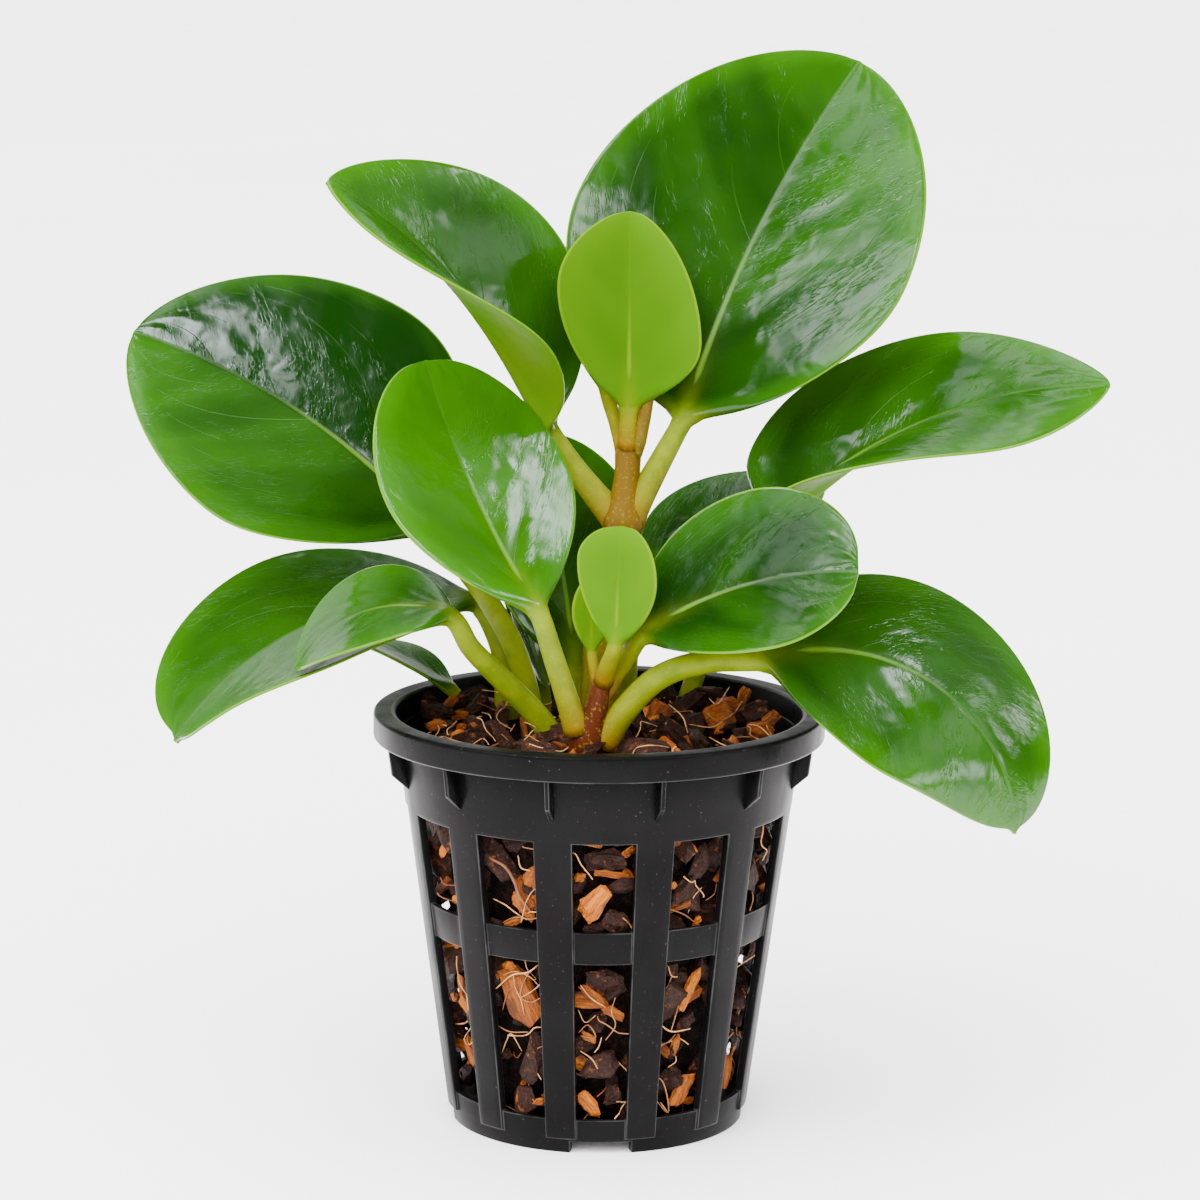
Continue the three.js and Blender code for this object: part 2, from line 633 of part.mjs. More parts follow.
// The blade as a closed solid, with both faces split into the same triangles.
function bladeSolid(leaf) {
  const rows = bladeRows(leaf);
  const offsets = bladeOffsets(rows);
  const rings = rows.map((row, i) => {
    const top = row.map((point, k) => point.clone().add(offsets[i][k]));
    const under = row.map((point, k) => point.clone().sub(offsets[i][k]));
    return [top, under];
  });
  const columns = BLADE_COLUMNS.length;
  const points = rings.flatMap(([top, under]) => [...top, ...under]);
  const at = (row, face, column) => (row * 2 + face) * columns + column;
  const index = [];
  const quad = (a, b, c, d) => index.push(a, b, c, a, c, d);
  for (let i = 0; i < rows.length - 1; i += 1) {
    for (let k = 0; k < columns - 1; k += 1) {
      quad(at(i, 0, k), at(i, 0, k + 1), at(i + 1, 0, k + 1), at(i + 1, 0, k));
      index.push(at(i, 1, k), at(i + 1, 1, k + 1), at(i, 1, k + 1));
      index.push(at(i, 1, k), at(i + 1, 1, k), at(i + 1, 1, k + 1));
    }
    const end = columns - 1;
    quad(at(i, 0, 0), at(i + 1, 0, 0), at(i + 1, 1, 0), at(i, 1, 0));
    quad(at(i, 0, end), at(i, 1, end), at(i + 1, 1, end), at(i + 1, 0, end));
  }
  const tip = rows.length - 1;
  for (let k = 0; k < columns - 1; k += 1) {
    quad(at(0, 0, k), at(0, 1, k), at(0, 1, k + 1), at(0, 0, k + 1));
    quad(at(tip, 0, k), at(tip, 0, k + 1), at(tip, 1, k + 1), at(tip, 1, k));
  }
  const geometry = new THREE.BufferGeometry().setFromPoints(points);
  geometry.setIndex(index);
  return toSolid(geometry);
}

// The petiole, from its root up to the blade and on under the first part of the midrib.
function petiolePoints(leaf) {
  const [rootRadius, bladeRadius] = leaf.radius;
  const count = leaf.stem.length;
  const points = leaf.stem.map(([x, y, z], i) => {
    return [x, y, z, THREE.MathUtils.lerp(rootRadius, bladeRadius, i / count)];
  });
  points.push([...leaf.base, bladeRadius]);
  const place = new THREE.Vector3(...leaf.base);
  const steps = 2;
  for (let i = 1; i <= steps; i += 1) {
    const share = (PETIOLE_UNDER_BLADE * i) / steps;
    const { along } = bladeFrame(leaf, share - PETIOLE_UNDER_BLADE / steps / 2);
    place.addScaledVector(along, (leaf.length * PETIOLE_UNDER_BLADE) / steps);
    const radius = THREE.MathUtils.lerp(bladeRadius, KEEL_END_RADIUS, i / steps);
    const { upper } = bladeFrame(leaf, share);
    const lowered = place.clone().addScaledVector(upper, (KEEL_RISE - radius) / 2);
    points.push([lowered.x, lowered.y, lowered.z, radius]);
  }
  return points;
}

const stepsFor = (points) => Math.round((points.length - 1) * 1.5);

function leafSolid(leaf) {
  const points = petiolePoints(leaf);
  return bladeSolid(leaf).add(toSolid(rod(points, stepsFor(points))));
}

// The same rods a little thicker: what has to be cut out of a neighbour.
function rodClearance(points) {
  return toSolid(rod(points, stepsFor(points), GAP));
}

// ---- potting medium ---------------------------------------------------------------

// A bark chip: a flattened five-sided lump with uneven corners.
function chip(random, place, outwards) {
  const sides = 5;
  const grow = THREE.MathUtils.lerp(0.75, 1.25, random());
  const size = new THREE.Vector3(MEDIUM.chipLength, MEDIUM.chipWidth, MEDIUM.chipThick);
  size.multiplyScalar(grow / 2);
  const points = [];
  for (let k = 0; k < sides; k += 1) {
    const angle = ((k + 0.6 * random()) / sides) * 2 * Math.PI;
    const height = 0.5 * (random() - 0.5);
    points.push(new THREE.Vector3(Math.cos(angle), Math.sin(angle), height));
  }
  points.push(new THREE.Vector3(0.3 * random(), 0.3 * random(), 1));
  points.push(new THREE.Vector3(0, 0, -1));
  const index = [];
  for (let k = 0; k < sides; k += 1) {
    const next = (k + 1) % sides;
    index.push(k, next, sides, next, k, sides + 1);
  }
  const geometry = new THREE.BufferGeometry().setFromPoints(points);
  geometry.setIndex(index);
  geometry.scale(size.x, size.y, size.z);
  geometry.rotateZ(random() * Math.PI);
  geometry.rotateX((random() - 0.5) * MEDIUM.chipTilt);
  const turn = new THREE.Quaternion().setFromUnitVectors(new THREE.Vector3(0, 0, 1), outwards);
  geometry.applyQuaternion(turn);
  geometry.translate(place.x, place.y, place.z);
  return toSolid(geometry);
}

function mediumChips() {
  const random = sequence(MEDIUM.seed);
  const golden = Math.PI * (3 - Math.sqrt(5));
  const chips = [];
  const inner = (z) => wallRadius(z) - POT.ribProud - POT.wall;
  for (let i = 0; i < MEDIUM.chipSide; i += 1) {
    const angle = i * golden;
    const z = THREE.MathUtils.lerp(POT.lowerSlot[0], POT.upperSlot[1], random());
    const outwards = new THREE.Vector3(Math.cos(angle), Math.sin(angle), 0);
    const place = outwards.clone().multiplyScalar(inner(z) - MEDIUM.chipSunk + random());
    chips.push(chip(random, place.setZ(z), outwards));
  }
  for (let i = 0; i < MEDIUM.chipTop; i += 1) {
    const share = Math.sqrt((i + 0.5) / MEDIUM.chipTop);
    const radius = share * (POT.rimInnerRadius - MEDIUM.chipWidth / 2);
    const angle = i * golden;
    const x = radius * Math.cos(angle);
    const y = radius * Math.sin(angle);
    const away = Math.hypot(x - MEDIUM.heap.x, y - MEDIUM.heap.y) / MEDIUM.heap.spread;
    const heap = MEDIUM.heap.height * Math.exp(-away * away);
    const core = MEDIUM.top + MEDIUM.mound * (1 - share * share);
    const z = core + heap + MEDIUM.chipRise + MEDIUM.unevenness * random();
    chips.push(chip(random, new THREE.Vector3(x, y, z), new THREE.Vector3(0, 0, 1)));
  }
  return chips;
}

function makeMedium(stems) {
  const inside = POT.ribProud + POT.wall + GAP;
  const mouth = POT.rimInnerRadius - GAP - MEDIUM.edge;
  const core = turned([
    [0, MEDIUM.bottom],
    [wallRadius(MEDIUM.bottom) - inside - MEDIUM.recess, MEDIUM.bottom],
    [wallRadius(MEDIUM.top) - inside - MEDIUM.recess, MEDIUM.top],
    [(wallRadius(MEDIUM.top) - inside) / 2, MEDIUM.top + (MEDIUM.mound * 3) / 4],
    [0, MEDIUM.top + MEDIUM.mound],
  ]);
  const room = turned([
    [0, MEDIUM.bottom],
    [wallRadius(MEDIUM.bottom) - inside, MEDIUM.bottom],
    [wallRadius(POT.upperSlot[1]) - inside, POT.upperSlot[1]],
    [mouth, POT.height - POT.rimBand],
    [mouth, MEDIUM.highest],
    [0, MEDIUM.highest],
  ]);
  return union([core, ...mediumChips()]).intersect(room).subtract(union(stems));
}

// ---- the whole object -------------------------------------------------------------

const plant = new THREE.Group();

function addPiece(name, solid, look) {
  const material = new THREE.MeshStandardMaterial(look);
  const mesh = new THREE.Mesh(fromSolid(solid), material);
  mesh.name = name;
  plant.add(mesh);
}

// What each rod takes up, with its clearance, by name: stems and petioles alike.
const clearances = {};
for (const [name, points] of Object.entries(STEMS)) {
  clearances[name] = rodClearance(points);
}
for (const [name, leaf] of Object.entries(LEAVES)) {
  clearances[name] = rodClearance(petiolePoints(leaf));
}

addPiece('net_pot', makePot(), COLOURS.pot);
addPiece('potting_medium', makeMedium(Object.values(clearances)), COLOURS.medium);

const stemLooks = { main_stem: COLOURS.stem, front_shoot: COLOURS.shoot, top_bud: COLOURS.bud };
for (const [name, points] of Object.entries(STEMS)) {
  let stem = toSolid(rod(points, stepsFor(points)));
  if (name === 'top_bud') stem = stem.subtract(clearances.main_stem);
  addPiece(name, stem, stemLooks[name]);
}

for (const [name, leaf] of Object.entries(LEAVES)) {
  const seats = leaf.on.map((carrier) => clearances[carrier]);
  const whole = leafSolid(leaf);
  const solid = seats.length ? whole.subtract(union(seats)) : whole;
  addPiece(name, solid, leaf.young ? COLOURS.youngLeaf : COLOURS.leaf);
}

export default plant;
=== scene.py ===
"""The looks of a small potted peperomia: a slotted basket pot of bark chips and the plant that
grows in it. Dimensions in the tables are millimetres; the pieces are made in metres, in the
same frame as the CAD part: origin on the pot's axis at table height, -Y to the front, +Z up."""

import json
import math
from dataclasses import dataclass
from types import SimpleNamespace

import bmesh
import bpy
import numpy as np
from mathutils import Euler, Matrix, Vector

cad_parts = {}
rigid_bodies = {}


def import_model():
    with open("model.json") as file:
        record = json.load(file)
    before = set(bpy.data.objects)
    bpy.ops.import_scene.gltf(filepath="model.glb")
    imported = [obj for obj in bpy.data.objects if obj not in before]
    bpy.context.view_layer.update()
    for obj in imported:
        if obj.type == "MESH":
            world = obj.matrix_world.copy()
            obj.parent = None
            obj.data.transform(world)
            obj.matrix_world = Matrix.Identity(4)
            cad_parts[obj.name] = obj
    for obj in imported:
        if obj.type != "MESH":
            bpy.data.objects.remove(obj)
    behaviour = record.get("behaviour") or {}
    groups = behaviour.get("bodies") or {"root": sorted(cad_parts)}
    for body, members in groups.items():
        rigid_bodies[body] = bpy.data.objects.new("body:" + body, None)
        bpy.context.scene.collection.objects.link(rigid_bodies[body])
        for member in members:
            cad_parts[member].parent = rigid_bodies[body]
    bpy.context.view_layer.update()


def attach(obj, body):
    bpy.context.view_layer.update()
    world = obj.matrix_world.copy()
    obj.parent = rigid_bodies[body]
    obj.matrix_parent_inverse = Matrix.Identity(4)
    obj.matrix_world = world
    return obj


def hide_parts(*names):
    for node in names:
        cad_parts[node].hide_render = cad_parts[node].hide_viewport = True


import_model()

MM = 0.001

# ---- camera and light ------------------------------------------------------------------------

CAMERA_PLACE = (0, -828, 259)
CAMERA_AIM = (0, 0, 105)
CAMERA_ROLL = 0.0069
LENS = 127.35
SENSOR = 36

# Large cloth-covered lamps, seen in no gloss: name, direction they come from (degrees from +X
# towards +Y, and above the table), width as seen from the plant in degrees, strength, colour.
LAMPS = [
    ("overhead_cloth", (-138, 62), 90, 9.6, (1.0, 0.985, 0.985)),
    ("front_cloth", (-105, 30), 90, 7.4, (1.0, 0.985, 0.99)),
    ("back_cloth", (80, 50), 90, 3.2, (1.0, 0.985, 1.0)),
]
# Windows that show as sheens in the leaves: direction, half width and half height and softness
# of the border in degrees, brightness, colour.
WINDOWS = [
    ((5, 36), (24, 12), 8, 0.6, (1.0, 1.0, 1.0)),
    ((122, 21), (50, 25), 10, 1.1, (1.0, 1.0, 0.99)),
    ((124, 27), (20, 13), 8, 1.5, (1.0, 1.0, 0.98)),
    ((-25, 24), (10, 7), 5, 2.8, (0.97, 0.99, 1.0)),
    ((178, 69.5), (9, 5), 3.5, 4.5, (0.93, 0.98, 1.0)),
    ((-158, 53), (4.5, 9), 3, 13.0, (0.93, 0.98, 1.0)),
    ((-139, 66), (5, 3), 1.5, 22.0, (0.93, 0.975, 1.0)),
    ((-118, 59.5), (4, 2.5), 1.5, 11.0, (0.93, 0.975, 1.0)),
    ((-131, 61), (4, 5), 2.5, 36.0, (0.91, 0.97, 1.0)),
    ((-119, 43), (6, 7), 4, 4.0, (0.95, 0.985, 1.0)),
    ((-106, 46), (3.5, 3.5), 2, 22.0, (0.95, 0.985, 1.0)),
    ((-42, 51), (8, 6), 3, 1.2, (0.95, 0.985, 1.0)),
    ((-14, 45), (12, 7), 4, 1.0, (0.95, 0.985, 1.0)),
    ((-28, 50), (4, 5), 4, 36.0, (0.94, 0.98, 1.0)),
    ((-20, 52.5), (5, 3.5), 2.5, 26.0, (0.94, 0.98, 1.0)),
    ((-31, 42), (5, 3), 3, 7.0, (0.94, 0.98, 1.0)),
    ((-5, 31), (5, 3), 3, 7.0, (0.95, 0.98, 1.0)),
    ((-28, 8), (8, 3.5), 2.5, 14.0, (0.96, 0.985, 1.0)),
    ((2, 20), (3, 5), 2, 13.0, (0.98, 0.99, 1.0)),
    ((95, 73), (13, 5), 3, 4.5, (0.98, 1.0, 0.98)),
    ((84, 57), (7, 8), 5, 3.2, (0.98, 1.0, 1.0)),
]
BACKDROP = (4.9, 4.6, 4.8)  # what the camera sees beyond the table
ROOM_DIM = 0.08
CEILING = 0.5
ROOM_SOFT = 2.4  # the even light of the room on everything that isn't gloss

# ---- pot -------------------------------------------------------------------------------------

POT_HEIGHT = 83
RIM_RADIUS = 45
RIM_INNER = 40.6
RIM_BAND = 5.2
RIM_BOTTOM = POT_HEIGHT - RIM_BAND
RIM_STEPS = 168
FOOT_RADIUS = 30
TAPER = 0.134
RIB_PROUD = 0.6
WALL = 1.2
SLOTS = 12
SLOT_ANGLE = 18.5
SLOT_PHASE = -88.3
SLOT_STEPS = 7
LOWER_SLOT = (7, 39.6)
UPPER_SLOT = (46.2, 64.4)
RIB_BOTTOM = 3
SHOULDER = 1
FOOT_WIDTH = 2.4
FLOOR_TOP = 3.8
FLOOR_BOTTOM = 2.4
NOTCHES = 4
NOTCH_WIDTH = 12
NOTCH_HEIGHT = 2.3
FIN_REACH = 3
FIN_HEIGHT = 9
FIN_THICK = 1
FIN_SLOPE = 3
DRAIN_COUNT = 6
DRAIN = (9, 22, 3)
DRAIN_CENTRE = 5

# ---- plant -----------------------------------------------------------------------------------


@dataclass
class Leaf:
    """One leaf: where its blade starts, its size in mm, its directions in degrees, the shape of
    its outline and the way of its petiole. The words are those of the CAD part's table. The
    rest is only for looks: how fresh its green is on its left and right half, from 0, deep and
    old, to 1, where the difference between the two halves is painted light and shade; how
    crinkled its left half is beside the midrib and at the margin, and its right half; the
    reach of a small nib at its tip; and the lift of an edge that lies over another leaf, as
    its side, the share of its length and the lift in mm. Left is -1 and right is 1, as seen
    from the petiole with the face up."""

    name: str
    base: tuple
    length: float
    width: float
    azimuth: float
    pitch: float
    bend: float
    fold: tuple
    widest: float
    base_fill: float
    tip_fill: float
    stem: list
    radius: tuple
    roll: float = 0
    sway: float = 0
    twist: float = 0
    curl: float = 0
    skew: float = 0
    tone: tuple = (0.2, 0.2)
    crinkles: tuple = (0.7, 0.7, 0.7, 0.7)
    nib: float = 0
    lift: tuple = (0, 0, 0)
    finish: str = "mature"


LEAVES = [
    Leaf(
        "leaf_top_right", base=(16.7, 7, 141.2), length=85, width=73.5, azimuth=48, pitch=64, bend=-21.5,
        fold=(15.5, 14), widest=0.41, base_fill=0.53, tip_fill=0.58, stem=[(5.6, 6, 120), (9.2, 6, 127),
        (13.2, 6.6, 134.5)], radius=(2.8, 1.9), roll=20.5, sway=-5, twist=9, curl=-5, tone=(0.12, 0.2),
        crinkles=(0.25, 0.3, 1.0, 1.0),
    ),
    Leaf(
        "leaf_upper_left", base=(-10.3, 8, 138), length=69.5, width=51, azimuth=200, pitch=64.5, bend=-34,
        fold=(63, 10), widest=0.46, base_fill=0.71, tip_fill=0.71, stem=[(3.4, 6.4, 120), (-1, 7, 125),
        (-6.5, 7.8, 132)], radius=(2.8, 1.9), roll=-36, sway=4, twist=-2, curl=-3.5, tone=(0.24, 0.24),
        crinkles=(1.0, 1.0, 1.1, 1.0),
    ),
    Leaf(
        "leaf_left_large", base=(-33.8, 10, 117.6), length=77.5, width=63, azimuth=150, pitch=41,
        bend=-27, fold=(12, 9), widest=0.43, base_fill=0.6, tip_fill=0.56, stem=[(-12.6, 7.4, 69),
        (-13.6, 7.2, 81), (-17, 7, 93.5), (-22.2, 7.6, 103), (-28, 9, 110.6)], radius=(2.4, 2), roll=-39,
        sway=12, twist=-6, curl=-7, tone=(0.24, -0.08), crinkles=(0.8, 0.9, 0.9, 0.05),
    ),
    Leaf(
        "leaf_front_left", base=(-12, -22, 107.2), length=56, width=43, azimuth=135, pitch=42.5, bend=24,
        fold=(12.5, 14), widest=0.5, base_fill=0.74, tip_fill=0.45, stem=[(-4.2, -20.4, 82.5),
        (-6.5, -21, 90), (-9.2, -21.6, 98.5)], radius=(2.3, 1.9), roll=-9, twist=-3.5, curl=-10,
        tone=(0.5, 0.5), crinkles=(0.6, 0.4, 1.1, 1.2),
    ),
    Leaf(
        "leaf_low_left", base=(-25.3, 16, 101.6), length=69.2, width=50.7, azimuth=189, pitch=9,
        bend=-63.5, fold=(-4, 16), widest=0.53, base_fill=0.9, tip_fill=0.42, stem=[(-18.4, 15, 69),
        (-18.7, 15, 80), (-19.1, 15, 88.6), (-21.5, 15.4, 96)], radius=(2.9, 2), roll=-24, sway=10,
        twist=14, curl=6, tone=(0.3, 0.26), nib=1.7, lift=(-1, 0.3, 1.8),
    ),
    Leaf(
        "leaf_low_left_front", base=(-28.9, -17, 105), length=35.6, width=31.2, azimuth=177, pitch=19,
        bend=-79, fold=(3, 1), widest=0.5, base_fill=0.65, tip_fill=0.57, stem=[(-7, -5.5, 68),
        (-10, -6, 79.4), (-14.8, -7.6, 85.8), (-19.8, -10.6, 91.6), (-25.4, -14, 98.2)],
        radius=(2.7, 1.9), roll=-22.5, sway=-8, twist=3, curl=6, tone=(0.34, 0.3),
    ),
    Leaf(
        "leaf_small_left", base=(-30, 20, 82.5), length=24, width=14.5, azimuth=158, pitch=36, bend=-32,
        fold=(14, 12), widest=0.5, base_fill=0.76, tip_fill=0.71, stem=[(-25.4, 18.6, 69),
        (-26.6, 19, 77)], radius=(1.6, 1.4), twist=2, curl=-3, tone=(0.34, 0.34),
    ),
    Leaf(
        "leaf_front_right", base=(8.4, -24, 102.8), length=44.2, width=38.3, azimuth=-5, pitch=36,
        bend=-36.5, fold=(16.5, 14.5), widest=0.58, base_fill=0.57, tip_fill=0.41,
        stem=[(0.8, -18.8, 89.6), (3.2, -18.2, 93.4), (6, -20.6, 98.2)], radius=(1.6, 1.6), roll=45,
        sway=-5, twist=4, tone=(0.02, 0.06),
    ),
    Leaf(
        "leaf_drooping_right", base=(32, -24, 98), length=68, width=44.5, azimuth=4, pitch=17,
        bend=-102.5, fold=(-2.5, -3), widest=0.44, base_fill=0.48, tip_fill=0.48, stem=[(0.6, -19, 80),
        (5, -20, 87), (11.8, -21.6, 94), (21, -23.2, 97.4)], radius=(2.6, 2.2), roll=45.5, sway=-6.5,
        twist=6.5, curl=-8, tone=(0.2, 0.26), crinkles=(1.2, 1.2, 1.2, 1.2), nib=1.7,
    ),
    Leaf(
        "leaf_right", base=(33, 0, 119.5), length=75.2, width=46.2, azimuth=-8, pitch=47.5, bend=-46,
        fold=(48, -5), widest=0.45, base_fill=0.3, tip_fill=0.68, stem=[(3.4, 4.8, 102), (11, 4.4, 104.6),
        (20.5, 3, 108.8), (28, 1.2, 114)], radius=(2.5, 2), roll=18, twist=17.5, curl=-8,
    ),
    Leaf(
        "leaf_back_right", base=(11.7, 16, 107.2), length=42.5, width=35, azimuth=34.5, pitch=31.5,
        bend=-18, fold=(12, 10.5), widest=0.46, base_fill=0.51, tip_fill=0.53, stem=[(2.2, 6.4, 94),
        (5, 9.6, 98.2), (8.6, 13, 103)], radius=(2.2, 1.8), roll=10, sway=-1.5, twist=-2.5, curl=-5,
        tone=(0.15, 0.15),
    ),
    Leaf(
        "leaf_young_top", base=(5.4, 3.4, 143.3), length=38.5, width=29.5, azimuth=90, pitch=90, bend=-4,
        fold=(16, 14), widest=0.47, base_fill=0.7, tip_fill=0.55, stem=[(5.4, 5, 135), (5.4, 4.2, 139)],
        radius=(1.9, 1.7), curl=2, skew=0.15, tone=(0.4, 0.5), finish="young",
    ),
    Leaf(
        "leaf_young_behind", base=(0.6, 9, 146), length=24, width=15, azimuth=108, pitch=86, bend=-8,
        fold=(22, 16), widest=0.5, base_fill=0.8, tip_fill=0.65, stem=[(4.6, 6.6, 134), (2.8, 7.6, 140)],
        radius=(1.6, 1.3), tone=(0.5, 0.5), finish="young",
    ),
    Leaf(
        "leaf_young_front", base=(3.2, -26, 101), length=23, width=16.4, azimuth=80, pitch=84, bend=-6,
        fold=(14, 12), widest=0.62, base_fill=0.73, tip_fill=0.42, stem=[(0.8, -20.4, 92.6),
        (1.8, -23.4, 97)], radius=(1.7, 1.5), sway=-8, curl=2, skew=0.1, tone=(0.58, 0.58),
        finish="young",
    ),
    Leaf(
        "leaf_young_front_inner", base=(-1.6, -17, 98), length=15, width=8, azimuth=96, pitch=80, bend=-6,
        fold=(24, 18), widest=0.5, base_fill=0.8, tip_fill=0.7, stem=[(-0.2, -19, 91.6), (-1.2, -18, 95)],
        radius=(1.1, 0.9), tone=(0.8, 0.8), finish="young",
    ),
    Leaf(
        "leaf_back_upright", base=(-5.2, 12, 89.5), length=48, width=35, azimuth=119.5, pitch=77,
        bend=-14, fold=(14.5, 13.5), widest=0.54, base_fill=0.65, tip_fill=0.49, stem=[(-4.7, 13, 69),
        (-4.9, 13, 80), (-5.1, 12.6, 85)], radius=(2.4, 1.9), roll=-8.5, curl=-4,
    ),
    Leaf(
        "leaf_back_left", base=(-11.8, 20, 82), length=50, width=30, azimuth=137, pitch=73, bend=-22.5,
        fold=(16.5, 18), widest=0.5, base_fill=0.77, tip_fill=0.6, stem=[(-10.8, 20.6, 69),
        (-11.3, 20.3, 76)], radius=(2.3, 1.9), roll=15, sway=6.5, twist=6, curl=1,
    ),
    Leaf(
        "leaf_back_right_low", base=(28, 21, 96), length=40, width=26, azimuth=8, pitch=12, bend=-30,
        fold=(8, 6), widest=0.5, base_fill=0.6, tip_fill=0.55, stem=[(17, 23, 69), (18, 22.8, 80),
        (21.4, 22, 89), (24.6, 21.4, 93.5)], radius=(2.2, 1.7), roll=22, curl=-6, tone=(0.5, 0.5),
    ),
    Leaf(
        "leaf_back_centre", base=(6.5, 23, 93), length=29, width=23, azimuth=78, pitch=50, bend=-25,
        fold=(12, 8), widest=0.48, base_fill=0.6, tip_fill=0.55, stem=[(5.4, 21, 69), (5.6, 21.4, 80),
        (6, 22.4, 87)], radius=(2.1, 1.7), curl=-6,
    ),
]


@dataclass
class Stem:
    """A fleshy stem: its (x, y, z, radius) points from the soil up, the number of its sides, its
    material with the body's, the warm and the dark tone, the heights between which it warms, its
    slot, which is not used, its knots as (height, swelling, width) and how strongly it is ribbed."""

    name: str
    points: list
    sides: int
    skin: str
    colours: tuple
    warm_between: tuple
    slot: str
    knots: tuple = ()
    ridges: float = 0.0


STEMS = [
    Stem(
        "main_stem",
        [(0, 3, 70, 4.2), (0.6, 3.6, 92, 3.8), (2.8, 5, 108, 3.2), (4, 5.8, 116, 3.3), (4.5, 6, 120, 4),
         (4.9, 6, 124, 3.2), (5.2, 6, 129, 2.5), (5.4, 6, 134, 2.7), (5.5, 6, 136, 1.6)],
        28, "main_stem_skin", ((0.078, 0.066, 0.001), (0.082, 0.043, 0.001), (0.055, 0.034, 0.001)),
        (96, 121), "stem_green", ((94, 0.12, 2.5), (102, 0.1, 2.5), (120.5, 0.15, 3)), 0.02,
    ),
    Stem(
        "front_shoot",
        [(-2.6, -19.5, 70, 3), (-2.4, -19.6, 80, 3.4), (-1.4, -19.8, 84.5, 2.8), (-0.4, -20, 88, 1.9),
         (0.4, -20, 92, 1.9), (0.8, -20, 94, 1.2)],
        24, "front_shoot_skin", ((0.034, 0.0055, 0.001), (0.05, 0.009, 0.001), (0.015, 0.004, 0.001)),
        (70, 92), "shoot_red", ((81, 0.1, 2), (88, 0.12, 1.5)), 0.02,
    ),
    Stem(
        "top_bud",
        [(7.4, 4.4, 133.2, 0.7), (7.6, 4, 136, 1.4), (8.4, 3.8, 141, 1.5), (9.6, 4, 146, 1),
         (10.2, 4.2, 148.4, 0.4)],
        20, "bud_skin", ((0.088, 0.06, 0.002), (0.072, 0.04, 0.002), (0.032, 0.02, 0.001)),
        (133, 148), "bud_olive",
    ),
]

# Colours are the light they give back: linear red, green and blue. A leaf has a deep and a
# fresh green, a rim and an underside, and its parts differ in the roughness, the gloss and the
# relief of the face, the petiole and the underside.
LEAF_FINISHES = {
    "mature": (
        ((0.0012, 0.012, 0.0001), (0.021, 0.104, 0.0002), (0.07, 0.17, 0.0003), (0.05, 0.1, 0.0006)),
        [("mature_leaf", 0.12, 0.36, 1.0), ("mature_petiole", 0.2, 0.12, 1.0),
         ("mature_underside", 0.25, 0.06, 0.6)],
    ),
    "young": (
        ((0.013, 0.054, 0.0001), (0.042, 0.108, 0.0001), (0.085, 0.15, 0.0003), (0.08, 0.15, 0.0005)),
        [("young_leaf", 0.4, 0.015, 0.25), ("young_petiole", 0.4, 0.04, 0.25),
         ("young_underside", 0.4, 0.015, 0.25)],
    ),
}
PETIOLE_GREEN = (0.078, 0.118, 0.0002)
PETIOLE_PALE = (0.112, 0.15, 0.0004)
PETIOLE_WARM = (0.12, 0.045, 0.002)
FRECKLE = (0.17, 0.165, 0.006)

BLADE_HALF = 0.6  # half the thickness of a blade at its midrib
MARGIN_HALF = 0.32  # and near its margin
MARGIN_ROUND = 0.6
FULL_LENGTH = 45  # leaves shorter than this are finer in all their parts
VEINS = 5.2
BLADE_ROWS = 60
HALF_COLUMNS = 22
PETIOLE_STEP = 1.6
SPAN_STEPS = 40  # of a smooth curve, from one given point to the next

# ---- bed of bark -----------------------------------------------------------------------------

BED_BOTTOM = 4.1
BED_TOP = 75.5
BED_MOUND = 3
BED_RECESS = 4.2
CHIP_DEPTH = 1.2
HEAP = (-24, 18, 2.2, 14)
MOUTH = 39.2
BED_HIGHEST = 84.4
# Heights between which things are scattered, on the core's side (True) and on its top (False).
CHIP_BANDS = {True: (5, 66), False: (70, 90)}
FIBRE_BANDS = {True: (6, 64), False: (70, 90)}
FIBRE_SWING = 9


# ---- small tools -----------------------------------------------------------------------------


def wall_radius(z):
    return FOOT_RADIUS + TAPER * z


def smoothstep(low, high, value):
    t = np.clip((value - low) / (high - low), 0, 1)
    return t * t * (3 - 2 * t)


def unit(vector):
    return vector / np.linalg.norm(vector, axis=-1, keepdims=True)


def heading(turn, height):
    """A direction from its turn from +X towards +Y and its height, in degrees."""
    turn, height = math.radians(turn), math.radians(height)
    return Vector((math.cos(turn) * math.cos(height), math.sin(turn) * math.cos(height), math.sin(height)))


def circle(radius, steps):
    angles = [2 * math.pi * i / steps for i in range(steps)]
    return [(radius * math.cos(angle), radius * math.sin(angle)) for angle in angles]


def turned(points, angle):
    """Points (x, y) turned about the pot's axis."""
    c, s = math.cos(angle), math.sin(angle)
    return [(x * c - y * s, x * s + y * c) for x, y in points]


def tube_faces(rows, sides, low, high):
    """Quads along rows of rings, closed by a fan to the point low before the first ring and to
    the point high after the last one."""
    faces, last = [], (rows - 1) * sides
    for i in range(rows - 1):
        for k in range(sides):
            n = (k + 1) % sides
            faces.append((i * sides + k, i * sides + n, (i + 1) * sides + n, (i + 1) * sides + k))
    for k in range(sides):
        n = (k + 1) % sides
        faces += [(low, n, k), (high, last + k, last + n)]
    return faces


def new_object(name, data):
    made = bpy.data.objects.new(name, data)
    bpy.context.scene.collection.objects.link(made)
    return made


